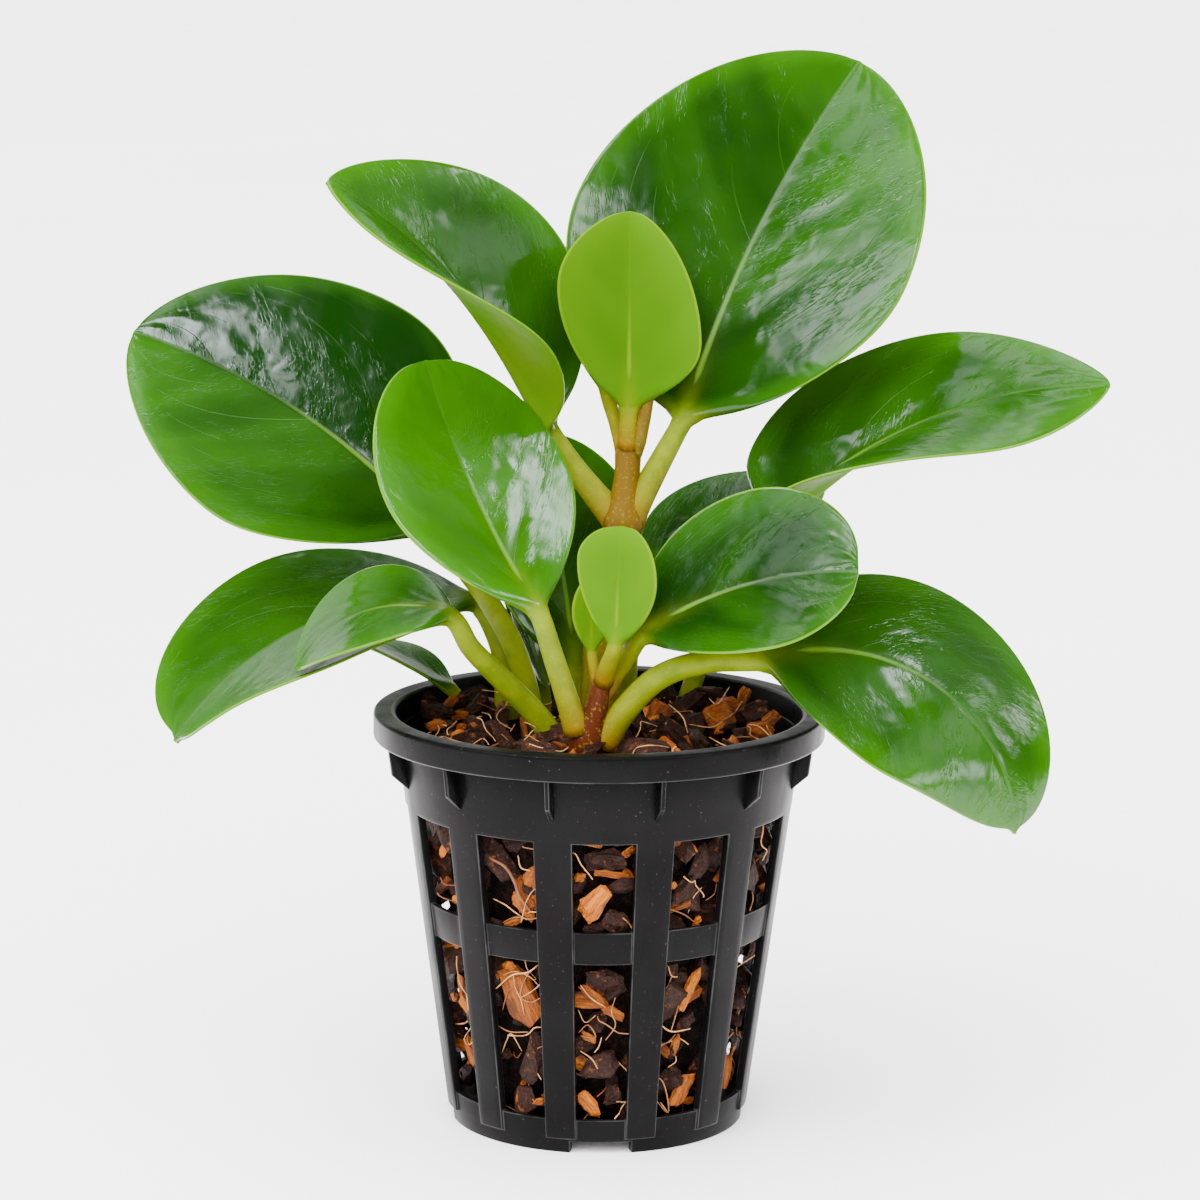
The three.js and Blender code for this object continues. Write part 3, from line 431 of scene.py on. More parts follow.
def new_piece(name, points, faces, material, smooth=True, turn=True):
    """A mesh object from points in mm, with its faces turned outward if turn is set."""
    mesh = bpy.data.meshes.new(name)
    mesh.from_pydata([tuple(p) for p in np.asarray(points, float) * MM], [], faces)
    mesh.validate()
    mesh.polygons.foreach_set("use_smooth", [smooth] * len(mesh.polygons))
    mesh.materials.append(material)
    if turn:
        shape = bmesh.new()
        shape.from_mesh(mesh)
        bmesh.ops.recalc_face_normals(shape, faces=shape.faces)
        shape.to_mesh(mesh)
        shape.free()
    return new_object(name, mesh)


def store(mesh, name, values, kind="FLOAT"):
    """Keeps one number or vector for each vertex, for the piece's material."""
    layer = mesh.attributes.new(name, kind, "POINT")
    part = "value" if kind == "FLOAT" else "vector"
    layer.data.foreach_set(part, np.asarray(values, dtype=np.float32).ravel())


def plain_mesh(holder):
    """An object's mesh with its modifiers applied, or the mesh of its curve."""
    graph = bpy.context.evaluated_depsgraph_get()
    return bpy.data.meshes.new_from_object(holder.evaluated_get(graph), depsgraph=graph)


def apply_modifiers(piece):
    made = plain_mesh(piece)
    piece.modifiers.clear()
    piece.data = made
    return piece


def join(name, pieces):
    """One mesh object out of several."""
    joined = bmesh.new()
    materials = []
    for piece in pieces:
        materials += [made for made in piece.data.materials if made not in materials]
        joined.from_mesh(piece.data)
        bpy.data.objects.remove(piece)
    mesh = bpy.data.meshes.new(name)
    joined.to_mesh(mesh)
    joined.free()
    for material in materials:
        mesh.materials.append(material)
    return new_object(name, mesh)


# ---- node tools ------------------------------------------------------------------------------


class Nodes:
    """Adds nodes to a tree. An input that is an output socket is linked, anything else is set.
    A colour is given as three numbers."""

    def __init__(self, tree):
        self.tree = tree

    def plug(self, socket, value):
        if isinstance(value, bpy.types.NodeSocket):
            self.tree.links.new(value, socket)
        else:
            socket.default_value = (*value, 1) if socket.type == "RGBA" else value

    def add(self, kind, inputs=None, **settings):
        made = self.tree.nodes.new(kind)
        for name, value in settings.items():
            setattr(made, name, value)
        for key, value in (inputs or {}).items():
            self.plug(made.inputs[key], value)
        return made

    def out(self, kind, inputs=None, which=0, **settings):
        """Adds a node and gives one of its outputs."""
        return self.add(kind, inputs, **settings).outputs[which]

    def math(self, operation, a, b=0.0, c=0.0, clamp=False):
        return self.out("ShaderNodeMath", {0: a, 1: b, 2: c}, operation=operation, use_clamp=clamp)

    def plus(self, a, b):
        return self.math("ADD", a, b)

    def minus(self, a, b, clamp=False):
        return self.math("SUBTRACT", a, b, clamp=clamp)

    def times(self, a, b):
        return self.math("MULTIPLY", a, b)

    def times_plus(self, a, b, c, clamp=False):
        return self.math("MULTIPLY_ADD", a, b, c, clamp)

    def apart(self, a, b):
        return self.math("ABSOLUTE", self.minus(a, b))

    def sized(self, vector, factor):
        return self.out("ShaderNodeVectorMath", {0: vector, "Scale": factor}, operation="SCALE")

    def ramp(self, value, low, high, start=0.0, end=1.0, kind="SMOOTHSTEP"):
        """value taken from low..high to start..end."""
        inputs = {"Value": value, "From Min": low, "From Max": high, "To Min": start, "To Max": end}
        return self.out("ShaderNodeMapRange", inputs, "Result", interpolation_type=kind)

    def blend(self, amount, first, second):
        """Two colours mixed. Index 6 and 7 are the colour inputs of the Mix node."""
        return self.out("ShaderNodeMix", {0: amount, 6: first, 7: second}, 2, data_type="RGBA")

    def noise(self, vector, scale, detail=2.0, rough=0.5, warp=0.0):
        inputs = {"Vector": vector, "Scale": scale, "Detail": detail, "Roughness": rough, "Distortion": warp}
        return self.out("ShaderNodeTexNoise", inputs)

    def scaled(self, vector, size):
        """A vector stretched along its axes."""
        return self.out("ShaderNodeMapping", {"Vector": vector, "Scale": size}, vector_type="POINT")

    def place(self, kind="Object"):
        return self.out("ShaderNodeTexCoord", None, kind)

    def fact(self, name, part="Fac"):
        """What store() kept at each vertex under this name."""
        return self.out("ShaderNodeAttribute", None, part, attribute_name=name)

    def random(self, low, high, seed, kind="FLOAT"):
        """A random number, or with kind FLOAT_VECTOR a vector. The node has its own sockets for each."""
        first, result = (2, 1) if kind == "FLOAT" else (0, 0)
        inputs = {first: low, first + 1: high, "Seed": seed}
        return self.out("FunctionNodeRandomValue", inputs, result, data_type=kind)

    def bump(self, height, distance, strength=1.0, **more):
        inputs = {"Height": height, "Distance": distance, "Strength": strength, **more}
        return self.out("ShaderNodeBump", inputs)


class Paint(Nodes):
    """A new material and its nodes."""

    def __init__(self, name):
        self.material = bpy.data.materials.new(name)
        self.material.use_nodes = True
        super().__init__(self.material.node_tree)

    def finished(self, base, roughness, gloss=0.5, normal=None, ior=1.5):
        """Sets up the surface and gives the material."""
        sockets = self.tree.nodes["Principled BSDF"].inputs
        self.plug(sockets["Base Color"], base)
        self.plug(sockets["Roughness"], roughness)
        sockets["Specular IOR Level"].default_value = gloss
        sockets["IOR"].default_value = ior
        if normal:
            self.plug(sockets["Normal"], normal)
        return self.material


# ---- finishes of the plant -------------------------------------------------------------------


def leaf_material(name, roughness, gloss, relief, greens):
    """A leaf's finish: the blade's green, its pale midrib and margin, the arching veins, the
    crinkles that break up its gloss, the pale underside and the petiole with its warm foot.
    relief is how strongly the skin is crinkled."""
    n = Paint(name)
    deep, fresh, rim, under = greens
    place, grain = n.place(), n.fact("grain", "Vector")
    facts = ("phase", "edge", "rib", "along", "under", "stalk", "warm", "tone", "crinkle")
    phase, edge, rib, along, below, stalk, warm, fresh_tone_and_side_shade, crinkle = (n.fact(fact) for fact in facts)

    # the blade: deep green, fresher in soft patches, between veins and towards the margin
    patches = n.noise(place, 45)
    bands = n.noise(n.scaled(grain, (0.11, 0.03, 1)), 1, 1)
    # the leaf's tone: its own deep or fresh green, with painted light and shade making one half lighter than
    # the other
    shade = n.times_plus(n.minus(patches, 0.5), 0.4, fresh_tone_and_side_shade)
    shade = n.times_plus(n.minus(bands, 0.5), 0.28, shade)
    shade = n.plus(shade, n.ramp(edge, 0.5, 8, 0.22, 0))
    # lighter towards the tip: partly the tip's own yellower green, partly painted light shining through the
    # thin tip
    shade = n.plus(shade, n.ramp(along, 0.7, 1, 0, 0.16))
    shade = n.minus(shade, n.ramp(along, 0, 0.5, 0.12, 0), clamp=True)
    green = n.blend(shade, deep, fresh)
    line = n.ramp(n.apart(n.math("FRACT", phase), 0.5), 0.0, 0.016, 1, 0)
    vein = n.times(line, n.ramp(n.noise(n.scaled(grain, (0.06, 0.06, 1)), 1, 1), 0.47, 0.6))
    green = n.blend(n.times(vein, 0.08 * relief), green, rim)
    midrib = n.times(n.ramp(rib, 0.15, 0.9, 1, 0), n.ramp(along, 0.15, 0.65, 1, 0.1))
    green = n.blend(n.times(midrib, 0.6), green, rim)
    margin = n.ramp(edge, 0.12, 0.6, 1, 0)
    green = n.blend(n.times(margin, 0.75), green, rim)

    # the underside and the petiole
    pale = n.blend(n.ramp(patches, 0.3, 0.7, 0, 0.5), under, fresh)
    skin = n.blend(below, green, pale)
    stem = n.blend(n.ramp(n.noise(place, 220), 0.35, 0.65), PETIOLE_GREEN, PETIOLE_PALE)
    stem = n.blend(warm, stem, PETIOLE_WARM)
    stem = n.blend(n.ramp(n.noise(place, 1800, 1), 0.6, 0.7, 0, 0.35), stem, FRECKLE)
    skin = n.blend(stalk, skin, stem)

    # relief in mm: short crinkles that follow the veins and lie in patches, a soft unevenness,
    # small pits and the sunk veins
    where = n.ramp(n.noise(n.scaled(grain, (0.11, 0.06, 1)), 1), 0.44, 0.62, 0.1, 1)
    ripple = n.noise(n.scaled(grain, (0.42, 0.26, 1)), 1, 1, 0.5, 0.8)
    dash = n.ramp(n.noise(n.scaled(grain, (1.05, 0.42, 1)), 1, 1, 0.5, 0.9), 0.56, 0.7)
    crack = n.noise(n.scaled(grain, (0.5, 0.27, 1)), 1, 1.5, 0.5, 1.6)
    crack = n.ramp(n.apart(crack, 0.5), 0.0, 0.06, 1, 0)
    crack = n.times(crack, n.ramp(n.noise(n.scaled(grain, (0.35, 0.35, 1)), 1, 1), 0.5, 0.6))
    height = n.times_plus(dash, 0.03, n.times(crack, -0.045))
    height = n.times_plus(ripple, 0.07, height)
    for share in (where, crinkle, n.ramp(along, 0.1, 0.45, 0.35, 1)):
        height = n.times(height, share)
    height = n.times_plus(n.noise(place, 150, 1.5, 0.5, 0.3), 0.24, height)
    spots = n.out("ShaderNodeTexVoronoi", {"Vector": place, "Scale": 330}, "Distance")
    height = n.times_plus(n.ramp(spots, 0.03, 0.1, 1, 0), 0.007, height)
    height = n.times_plus(n.times(vein, crinkle), -0.04, height)
    height = n.times(height, n.minus(1.0, stalk, clamp=True))
    height = n.times(height, relief)

    dull = n.ramp(n.noise(place, 120), 0.3, 0.7, roughness - 0.03, roughness + 0.05)
    dull = n.times_plus(below, 0.25, dull)
    dull = n.plus(dull, n.ramp(rib, 0.4, 1.3, 0.22, 0))
    dull = n.times_plus(stalk, 0.15, dull)
    return n.finished(skin, dull, gloss, n.bump(height, MM), 1.45)


def stem_material(name, colours, low, high):
    """A fleshy stem that turns warmer between two heights in mm, with lengthwise streaks."""
    n = Paint(name)
    body, warm, dark = colours
    place = n.place()
    height = n.out("ShaderNodeSeparateXYZ", {0: place}, "Z")
    streaks = n.noise(n.scaled(place, (1, 1, 0.12)), 900, 3, 0.6)
    warmth = n.minus(n.ramp(height, low * MM, high * MM), 0.25)
    warmth = n.times_plus(n.noise(place, 160), 0.5, warmth, clamp=True)
    tone = n.blend(warmth, body, warm)
    tone = n.blend(n.ramp(streaks, 0.35, 0.7, 0, 0.45), tone, dark)
    tone = n.blend(n.ramp(n.noise(place, 1700, 1), 0.6, 0.7, 0, 0.35), tone, FRECKLE)
    return n.finished(tone, n.ramp(streaks, 0.3, 0.7, 0.34, 0.5), 0.1, n.bump(streaks, 0.12 * MM))


# ---- leaves ----------------------------------------------------------------------------------


def blade_frame(leaf, share):
    """Unit vectors along the blade, to its right and out of its upper face, at shares of its
    length."""
    azimuth = np.radians(leaf.azimuth + leaf.sway * share)
    pitch = np.radians(leaf.pitch + leaf.bend * share)
    roll = np.radians(leaf.roll + leaf.twist * share)[..., None]
    level = np.stack([np.cos(azimuth), np.sin(azimuth), 0 * azimuth], -1)
    along = level * np.cos(pitch)[..., None]
    along[..., 2] = np.sin(pitch)
    face = -level * np.sin(pitch)[..., None]
    face[..., 2] = np.cos(pitch)
    side = np.cross(along, face)
    upper = face * np.cos(roll) + side * np.sin(roll)
    right = side * np.cos(roll) - face * np.sin(roll)
    return along, right, upper


def curve_through(points, per_span=SPAN_STEPS):
    """A smooth curve through points (centripetal Catmull-Rom)."""
    points = [np.asarray(p, float) for p in points]
    points = [2 * points[0] - points[1], *points, 2 * points[-1] - points[-2]]
    made = []
    for i in range(1, len(points) - 2):
        p0, p1, p2, p3 = points[i - 1 : i + 3]
        t0 = 0.0
        t1 = t0 + np.linalg.norm(p1 - p0) ** 0.5
        t2 = t1 + np.linalg.norm(p2 - p1) ** 0.5
        t3 = t2 + np.linalg.norm(p3 - p2) ** 0.5
        t = np.linspace(t1, t2, per_span, endpoint=False)[:, None]
        a1 = (t1 - t) / (t1 - t0) * p0 + (t - t0) / (t1 - t0) * p1
        a2 = (t2 - t) / (t2 - t1) * p1 + (t - t1) / (t2 - t1) * p2
        a3 = (t3 - t) / (t3 - t2) * p2 + (t - t2) / (t3 - t2) * p3
        b1 = (t2 - t) / (t2 - t0) * a1 + (t - t0) / (t2 - t0) * a2
        b2 = (t3 - t) / (t3 - t1) * a2 + (t - t1) / (t3 - t1) * a3
        made.append((t2 - t) / (t2 - t1) * b1 + (t - t1) / (t2 - t1) * b2)
    made.append(points[-2][None])
    return np.vstack(made)


def run_length(path):
    steps = np.linalg.norm(np.diff(path, axis=0), axis=1)
    return np.concatenate([[0], np.cumsum(steps)])


def sample(run, values, at):
    return np.stack([np.interp(at, run, values[:, k]) for k in range(values.shape[1])], 1)


def outline(leaf, share, side):
    """Half width of one side of the blade, as a share of its greatest."""
    peak = leaf.widest - side * leaf.skew
    rising = np.sin(np.pi / 2 * np.clip(share / peak, 0, 1)) ** leaf.base_fill
    falling = np.cos(np.pi / 2 * np.clip((share - peak) / (1 - peak), 0, 1)) ** leaf.tip_fill
    return np.where(share < peak, rising, falling)


def blurred(values, step, width):
    """values, one each step mm, smoothed over width mm."""
    reach = int(4 * width / step)
    x = np.arange(-reach, reach + 1) * step
    weights = np.exp(-((x / width) ** 2) / 2)
    weights /= weights.sum()
    padded = np.pad(values, ((reach, reach),) + ((0, 0),) * (values.ndim - 1), mode="edge")
    if values.ndim == 1:
        return np.convolve(padded, weights, "valid")
    return np.stack([np.convolve(padded[:, k], weights, "valid") for k in range(values.shape[1])], 1)


def leaf_spine(leaf):
    """The leaf's middle line from the petiole's root to the blade's tip: for points every half
    millimetre, the distance from the blade's base, the place and the three directions."""
    step = 0.5
    share = np.linspace(0, 1, int(leaf.length / step) + 1)
    along, right, upper = blade_frame(leaf, share)
    spans = (along[:-1] + along[1:]) / 2 * (leaf.length / (len(share) - 1))
    blade = np.array(leaf.base, float) + np.vstack([[0, 0, 0], np.cumsum(spans, 0)])
    guide = [*leaf.stem, leaf.base, blade[int(0.14 * len(share))]]
    path = curve_through(guide)
    path = path[: SPAN_STEPS * len(leaf.stem) + 1]
    run = run_length(path)
    count = int(run[-1] / step)
    petiole = sample(run, path, np.linspace(0, run[-1], count, endpoint=False))
    places = np.vstack([petiole, blade])
    distance = np.concatenate([np.linspace(-run[-1], 0, count, endpoint=False), share * leaf.length])
    near = np.exp(-((distance / 6) ** 4))[:, None]
    places = places * (1 - near) + blurred(places, step, 1.8) * near
    tangent = unit(np.gradient(places, axis=0))
    across = np.vstack([np.zeros_like(petiole), right])
    for i in range(count - 1, -1, -1):
        across[i] = across[i + 1] - tangent[i] * (across[i + 1] @ tangent[i])
    across = unit(across)
    face = np.cross(across, tangent)
    face[count:] = upper
    return distance, places, across, unit(face), step


def leaf_rows(leaf):
    """The rings along petiole and blade, by row: distance from the blade's base, share of the
    blade's length, middle, directions, the petiole's radius, how far the blade has taken over
    from the petiole, and the half width to the left (-1) and to the right (1)."""
    distance, places, across, face, step = leaf_spine(leaf)
    root = -distance[0]
    small = min(1.0, leaf.length / FULL_LENGTH)
    shares = 0.5 - 0.5 * np.cos(np.pi * np.arange(BLADE_ROWS) / (BLADE_ROWS - 1))
    petiole = np.linspace(-root, 0, max(6, int(root / PETIOLE_STEP)), endpoint=False)
    at = np.concatenate([petiole, shares * 0.9995 * leaf.length])
    share = np.clip(at / leaf.length, 0, 1)

    # the petiole's radius, with its swollen root and its way on under the blade
    root_radius, blade_radius = leaf.radius
    radius = root_radius + (blade_radius - root_radius) * np.clip(1 + at / root, 0, 1)
    radius = radius * (1 + 0.18 * np.exp(-(at + root) / 3.5))
    radius = np.where(at > 0, blade_radius * (1 - 0.85 * smoothstep(0, 0.75, share)), radius)
    radius = np.maximum(radius, 0.3)

    dense_share = np.clip(distance / leaf.length, 0, 1)
    keep = smoothstep(0.5, 0.8, dense_share)
    narrow = radius * (1 - 0.6 * smoothstep(0.6, 1, share))
    halves = {}
    for side in (-1, 1):
        wide = np.where(distance > 0, leaf.width / 2 * outline(leaf, dense_share, side), 0)
        wide = blurred(wide, step, 1.7 * small) * (1 - keep) + wide * keep
        half = np.interp(at, distance, wide)
        halves[side] = np.sqrt(half**2 + narrow**2 * (1 - 0.9 * smoothstep(0.7, 1, share)))
    return SimpleNamespace(
        at=at, share=share, radius=radius, halves=halves, root=root, small=small,
        centre=sample(distance, places, at), right=unit(sample(distance, across, at)),
        upper=unit(sample(distance, face, at)), blade=smoothstep(-1.5 * small, 10 * small, at),
    )


def half_blade(leaf, rows, side, waves):
    """One half of every ring, from the midrib outward: the points of its upper and lower face,
    and what the material asks at each point."""
    at, share, radius, blade, width = (
        values[:, None] for values in (rows.at, rows.share, rows.radius, rows.blade, rows.halves[side])
    )
    small = rows.small
    t = np.linspace(0, 1, HALF_COLUMNS + 1)
    column = (t - 0.135 * np.sin(2 * np.pi * t)) * blade + np.sin(np.pi / 2 * t) * (1 - blade)
    x = column * width
    fold_in = smoothstep(-4 * small, 5 * small, at)
    fold = np.radians(leaf.fold[0] + (leaf.fold[1] - leaf.fold[0]) * share) * fold_in
    slope = fold + np.radians(leaf.curl) * column * fold_in
    slope = slope * (1 - np.exp(-((x / 1.3) ** 2)))
    mean = (slope[:, 1:] + slope[:, :-1]) / 2
    sideways, up = np.zeros_like(x), np.zeros_like(x)
    sideways[:, 1:] = np.cumsum(np.cos(mean) * np.diff(x, axis=1), 1)
    up[:, 1:] = np.cumsum(np.sin(mean) * np.diff(x, axis=1), 1)

    # a gentle wave of the surface, stronger towards the margin, a lifted edge, and the face's
    # swelling between the arching veins
    swing = np.sin(at / 9 + waves[0] + 1.5 * column)
    swing = swing + 0.6 * np.sin(at / 4.6 + waves[1] - 2 * column)
    up += 0.28 * small * swing * column**1.5 * blade * (1 - 0.5 * share)
    if side == leaf.lift[0]:
        up += leaf.lift[2] * column**2 * np.exp(-(((share - leaf.lift[1]) / 0.2) ** 2))
    phase = at / leaf.length - 0.43 * column - 0.67 * column**3
    phase = phase * VEINS + (0.2 if side < 0 else 0.6)
    quilt = np.cos(2 * np.pi * phase)
    up += 0.10 * small * quilt * blade * np.sin(np.pi * column) * (leaf.finish != "young")

    # thickness: the rounded margin, the petiole's keel below and the midrib's groove above
    gap = (1 - column) * width
    edge = np.sqrt(1 - (1 - np.clip(gap / MARGIN_ROUND, 0, 1)) ** 2)
    body = (BLADE_HALF + (MARGIN_HALF - BLADE_HALF) * column**1.5) * edge
    tube = radius * np.sqrt(np.clip(1 - column**2, 0, 1))
    keel = radius * 0.85 * np.exp(-((x / (0.95 * radius)) ** 2)) * edge
    groove = 0.30 * small * np.exp(-((x / (0.6 + 0.5 * (1 - share))) ** 2))
    groove = groove * np.exp(-share * 1.6) * blade

    def lay(offset):
        flat = ((sideways - np.sin(slope) * offset) * side)[..., None]
        high = (up + np.cos(slope) * offset)[..., None]
        return rows.centre[:, None] + rows.right[:, None] * flat + rows.upper[:, None] * high

    above = lay(tube * (1 - blade) + (body - groove * edge) * blade)
    below = lay(-(tube * (1 - blade) + (body + keel) * blade))
    rib_width = 0.35 + 0.95 * small * np.exp(-share * 3.2)
    facts = {
        "edge": gap * blade + 3 * (1 - blade), "rib": x / rib_width + 3 * (1 - blade),
        "phase": phase, "x": x * side,
    }
    return above, below, facts


def ringed(over, back):
    """Rings out of two pairs of halves: over the upper face from left to right, back below."""
    over, back = (np.concatenate([left[:, ::-1], right[:, 1:]], 1) for left, right in (over, back))
    return np.concatenate([over, back[:, -2:0:-1]], 1)


def leaf_piece(leaf, seed, materials):
    """The blade and its petiole as one closed skin of rings."""
    rows = leaf_rows(leaf)
    waves = np.random.default_rng(seed).uniform(0, 2 * np.pi, 6)
    left = half_blade(leaf, rows, -1, (waves[0], waves[2]))
    right = half_blade(leaf, rows, 1, (waves[1], waves[3]))
    points = ringed((left[0], right[0]), (left[1], right[1]))
    reach = leaf.nib * np.exp(-(1 - rows.share) / 0.0016)
    points += unit(rows.centre[-1] - rows.centre[-4]) * reach[:, None, None]
    count, ring = points.shape[:2]
    flat = points.reshape(-1, 3)
    faces = tube_faces(count, ring, len(flat), len(flat) + 1)
    flat = np.vstack([flat, points[0].mean(0), points[-1].mean(0)])
    piece = new_piece(leaf.name.replace("leaf", "leaf_skin"), flat, faces, materials[0])

    # what the material asks at each point
    facts = {name: (left[2][name], right[2][name]) for name in left[2]}
    facts = {name: ringed(pair, pair) for name, pair in facts.items()}
    x = facts.pop("x")
    small, half_width = rows.small, leaf.width / 2
    margin = 2 * HALF_COLUMNS
    under = np.zeros((count, ring))
    under[:, margin + 1 :] = 1
    under[:, [0, margin]] = 0.5
    run = np.repeat(rows.at[:, None], ring, 1)
    stalk = 1 - smoothstep(-3 * small, 3 * small, run)
    run_up = np.exp(-np.clip(run, 0, None) / (6 * small)) * np.exp(-((x / (2.2 * small)) ** 2))
    out = np.abs(x)
    lean = run - 0.5 * out - 0.6 * out**2 / half_width
    outward = smoothstep(0.1, 0.75, out / half_width)
    rough = [leaf.crinkles[i] + (leaf.crinkles[i + 1] - leaf.crinkles[i]) * outward for i in (0, 2)]
    facts |= {
        "under": under, "along": np.repeat(rows.share[:, None], ring, 1),
        "stalk": np.maximum(stalk, 0.5 * run_up * (run > 0)),
        "warm": 0.95 * np.exp(-(run + rows.root) / 6.5),
        # the leaf's tone: its own green, with painted light and shade in the step from its left half to its
        # right
        "tone": leaf.tone[0] + (leaf.tone[1] - leaf.tone[0]) * smoothstep(-1.5, 1.5, x),
        "crinkle": rough[0] + (rough[1] - rough[0]) * smoothstep(-2, 2, x),
        # its third number sets the leaves apart
        "grain": np.stack([lean, x, np.full_like(x, seed * 7.3)], -1),
    }

    def with_ends(values):
        values = values.reshape(count * ring, -1)
        return np.vstack([values, values[:1], values[-1:]])

    for name, values in facts.items():
        store(piece.data, name, with_ends(values), "FLOAT_VECTOR" if name == "grain" else "FLOAT")

    # three materials: the face, the petiole and the underside
    for material in materials[1:]:
        piece.data.materials.append(material)
    row_of = np.minimum(np.arange(len(flat)) // ring, count - 1)
    below = with_ends(under)[:, 0]
    parts = []
    for face in piece.data.polygons:
        on_petiole = rows.at[row_of[face.vertices[0]]] < -0.5
        beneath = sum(below[v] for v in face.vertices) / len(face.vertices) > 0.7
        parts.append(1 if on_petiole else 2 if beneath else 0)
    piece.data.polygons.foreach_set("material_index", parts)
    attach(piece, "root")
    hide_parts(leaf.name)


# ---- stems -----------------------------------------------------------------------------------


def stem_piece(stem):
    """A fleshy stem through its points, swollen at its knots, with a domed end."""
    path = curve_through([p[:3] for p in stem.points], 30)
    spans = np.linspace(0, len(stem.points) - 1, len(path))
    radius = np.interp(spans, range(len(stem.points)), [p[3] for p in stem.points])
    run = run_length(path)
    at = np.linspace(0, run[-1], max(12, int(run[-1] / 0.9)))
    centre = sample(run, path, at)
    radius = np.interp(at, run, blurred(radius, 1, 4))
    for height, swell, wide in stem.knots:
        radius = radius * (1 + swell * np.exp(-(((centre[:, 2] - height) / wide) ** 2)))
    tangent = unit(np.gradient(centre, axis=0))
    across = np.zeros_like(centre)
    last = np.array([1.0, 0, 0])
    for i in range(len(at)):
        last = last - tangent[i] * (last @ tangent[i])
        last = last / np.linalg.norm(last)
        across[i] = last
    up = np.cross(tangent, across)
    angle = np.linspace(0, 2 * np.pi, stem.sides, endpoint=False)
    bulge = 1 + stem.ridges * np.sin(angle * 5)[None] + 0.5 * stem.ridges * np.sin(angle * 3 + 1.0)[None]
    ring = (across[:, None] * np.cos(angle)[None, :, None] + up[:, None] * np.sin(angle)[None, :, None])
    body = centre[:, None] + ring * (radius[:, None] * bulge)[..., None]
    dome = []
    for share in (0.35, 0.65, 0.87, 0.97):
        lift = tangent[-1] * radius[-1] * share * 0.9
        wide = (radius[-1] * bulge[0] * math.sqrt(1 - share**2))[:, None]
        dome.append(centre[-1] + lift + ring[-1] * wide)
    body = np.concatenate([body, np.array(dome)])
    skin = body.reshape(-1, 3)
    faces = tube_faces(len(body), stem.sides, len(skin), len(skin) + 1)
    skin = np.vstack([skin, centre[0], centre[-1] + tangent[-1] * radius[-1] * 0.9])
    material = stem_material(stem.skin, stem.colours, *stem.warm_between)
    piece = new_piece(stem.name + "_skin", skin, faces, material)
    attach(piece, "root")
    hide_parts(stem.name)


# ---- pot -------------------------------------------------------------------------------------


def plastic_material():
    """Charcoal black moulded plastic, satin, with fine moulding grain, faint scuffs and dust."""
    n = Paint("charcoal_plastic")
    place = n.place()
    patches = n.ramp(n.noise(place, 60, 3), 0.3, 0.7)
    tone = n.blend(patches, (0.0016, 0.0015, 0.0016), (0.003, 0.0029, 0.003))
    dust = n.ramp(n.noise(place, 1400, 2, 0.7), 0.69, 0.75, 0, 0.5)
    tone = n.blend(dust, tone, (0.06, 0.055, 0.05))
    smear = n.noise(n.scaled(place, (1, 1, 0.3)), 140, 4, 0.6)
    rough = n.plus(n.ramp(smear, 0.3, 0.7, 0.26, 0.4), n.times(dust, 0.3))
    normal = n.bump(n.noise(place, 3200), 0.02 * MM, 0.6)
    normal = n.bump(n.noise(place, 90), 0.25 * MM, 0.5, Normal=normal)
    return n.finished(tone, rough, 0.05, normal)


def highlit_worn_edge_material():
    """The plastic along its moulded edges, paler here and there: rubbed wear and a painted highlight where
    light catches the edges.
    """
    n = Paint("worn_edge")
    rubbed_and_highlit = n.ramp(n.noise(n.place(), 130, 3, 0.6), 0.4, 0.62)
    return n.finished(n.blend(rubbed_and_highlit, (0.002, 0.002, 0.002), (0.015, 0.015, 0.015)), 0.3, 0.15)


def pot_angles():
    """Angles round the wall with the part each step belongs to: ("slot" or "rib", number). A
    half number is a rib's middle, between the parts that a foot notch reaches into."""
    angles, parts = [], []
    rib = 360 / SLOTS - SLOT_ANGLE
    half_notch = math.degrees(math.asin(NOTCH_WIDTH / 2 / (wall_radius(0) - RIB_PROUD)))
    into_rib = half_notch - SLOT_ANGLE / 2
    for i in range(SLOTS):
        start = SLOT_PHASE + i * 360 / SLOTS - SLOT_ANGLE / 2
        for k in range(SLOT_STEPS):
            angles.append(start + SLOT_ANGLE * k / SLOT_STEPS)
            parts.append(("slot", i))
        start += SLOT_ANGLE
        for cut, number in ((0, i), (into_rib, i + 0.5), (rib / 2, i + 0.5), (rib - into_rib, i + 1)):
            angles.append(start + cut)
            parts.append(("rib", number))
    return [math.radians(a) for a in angles], parts


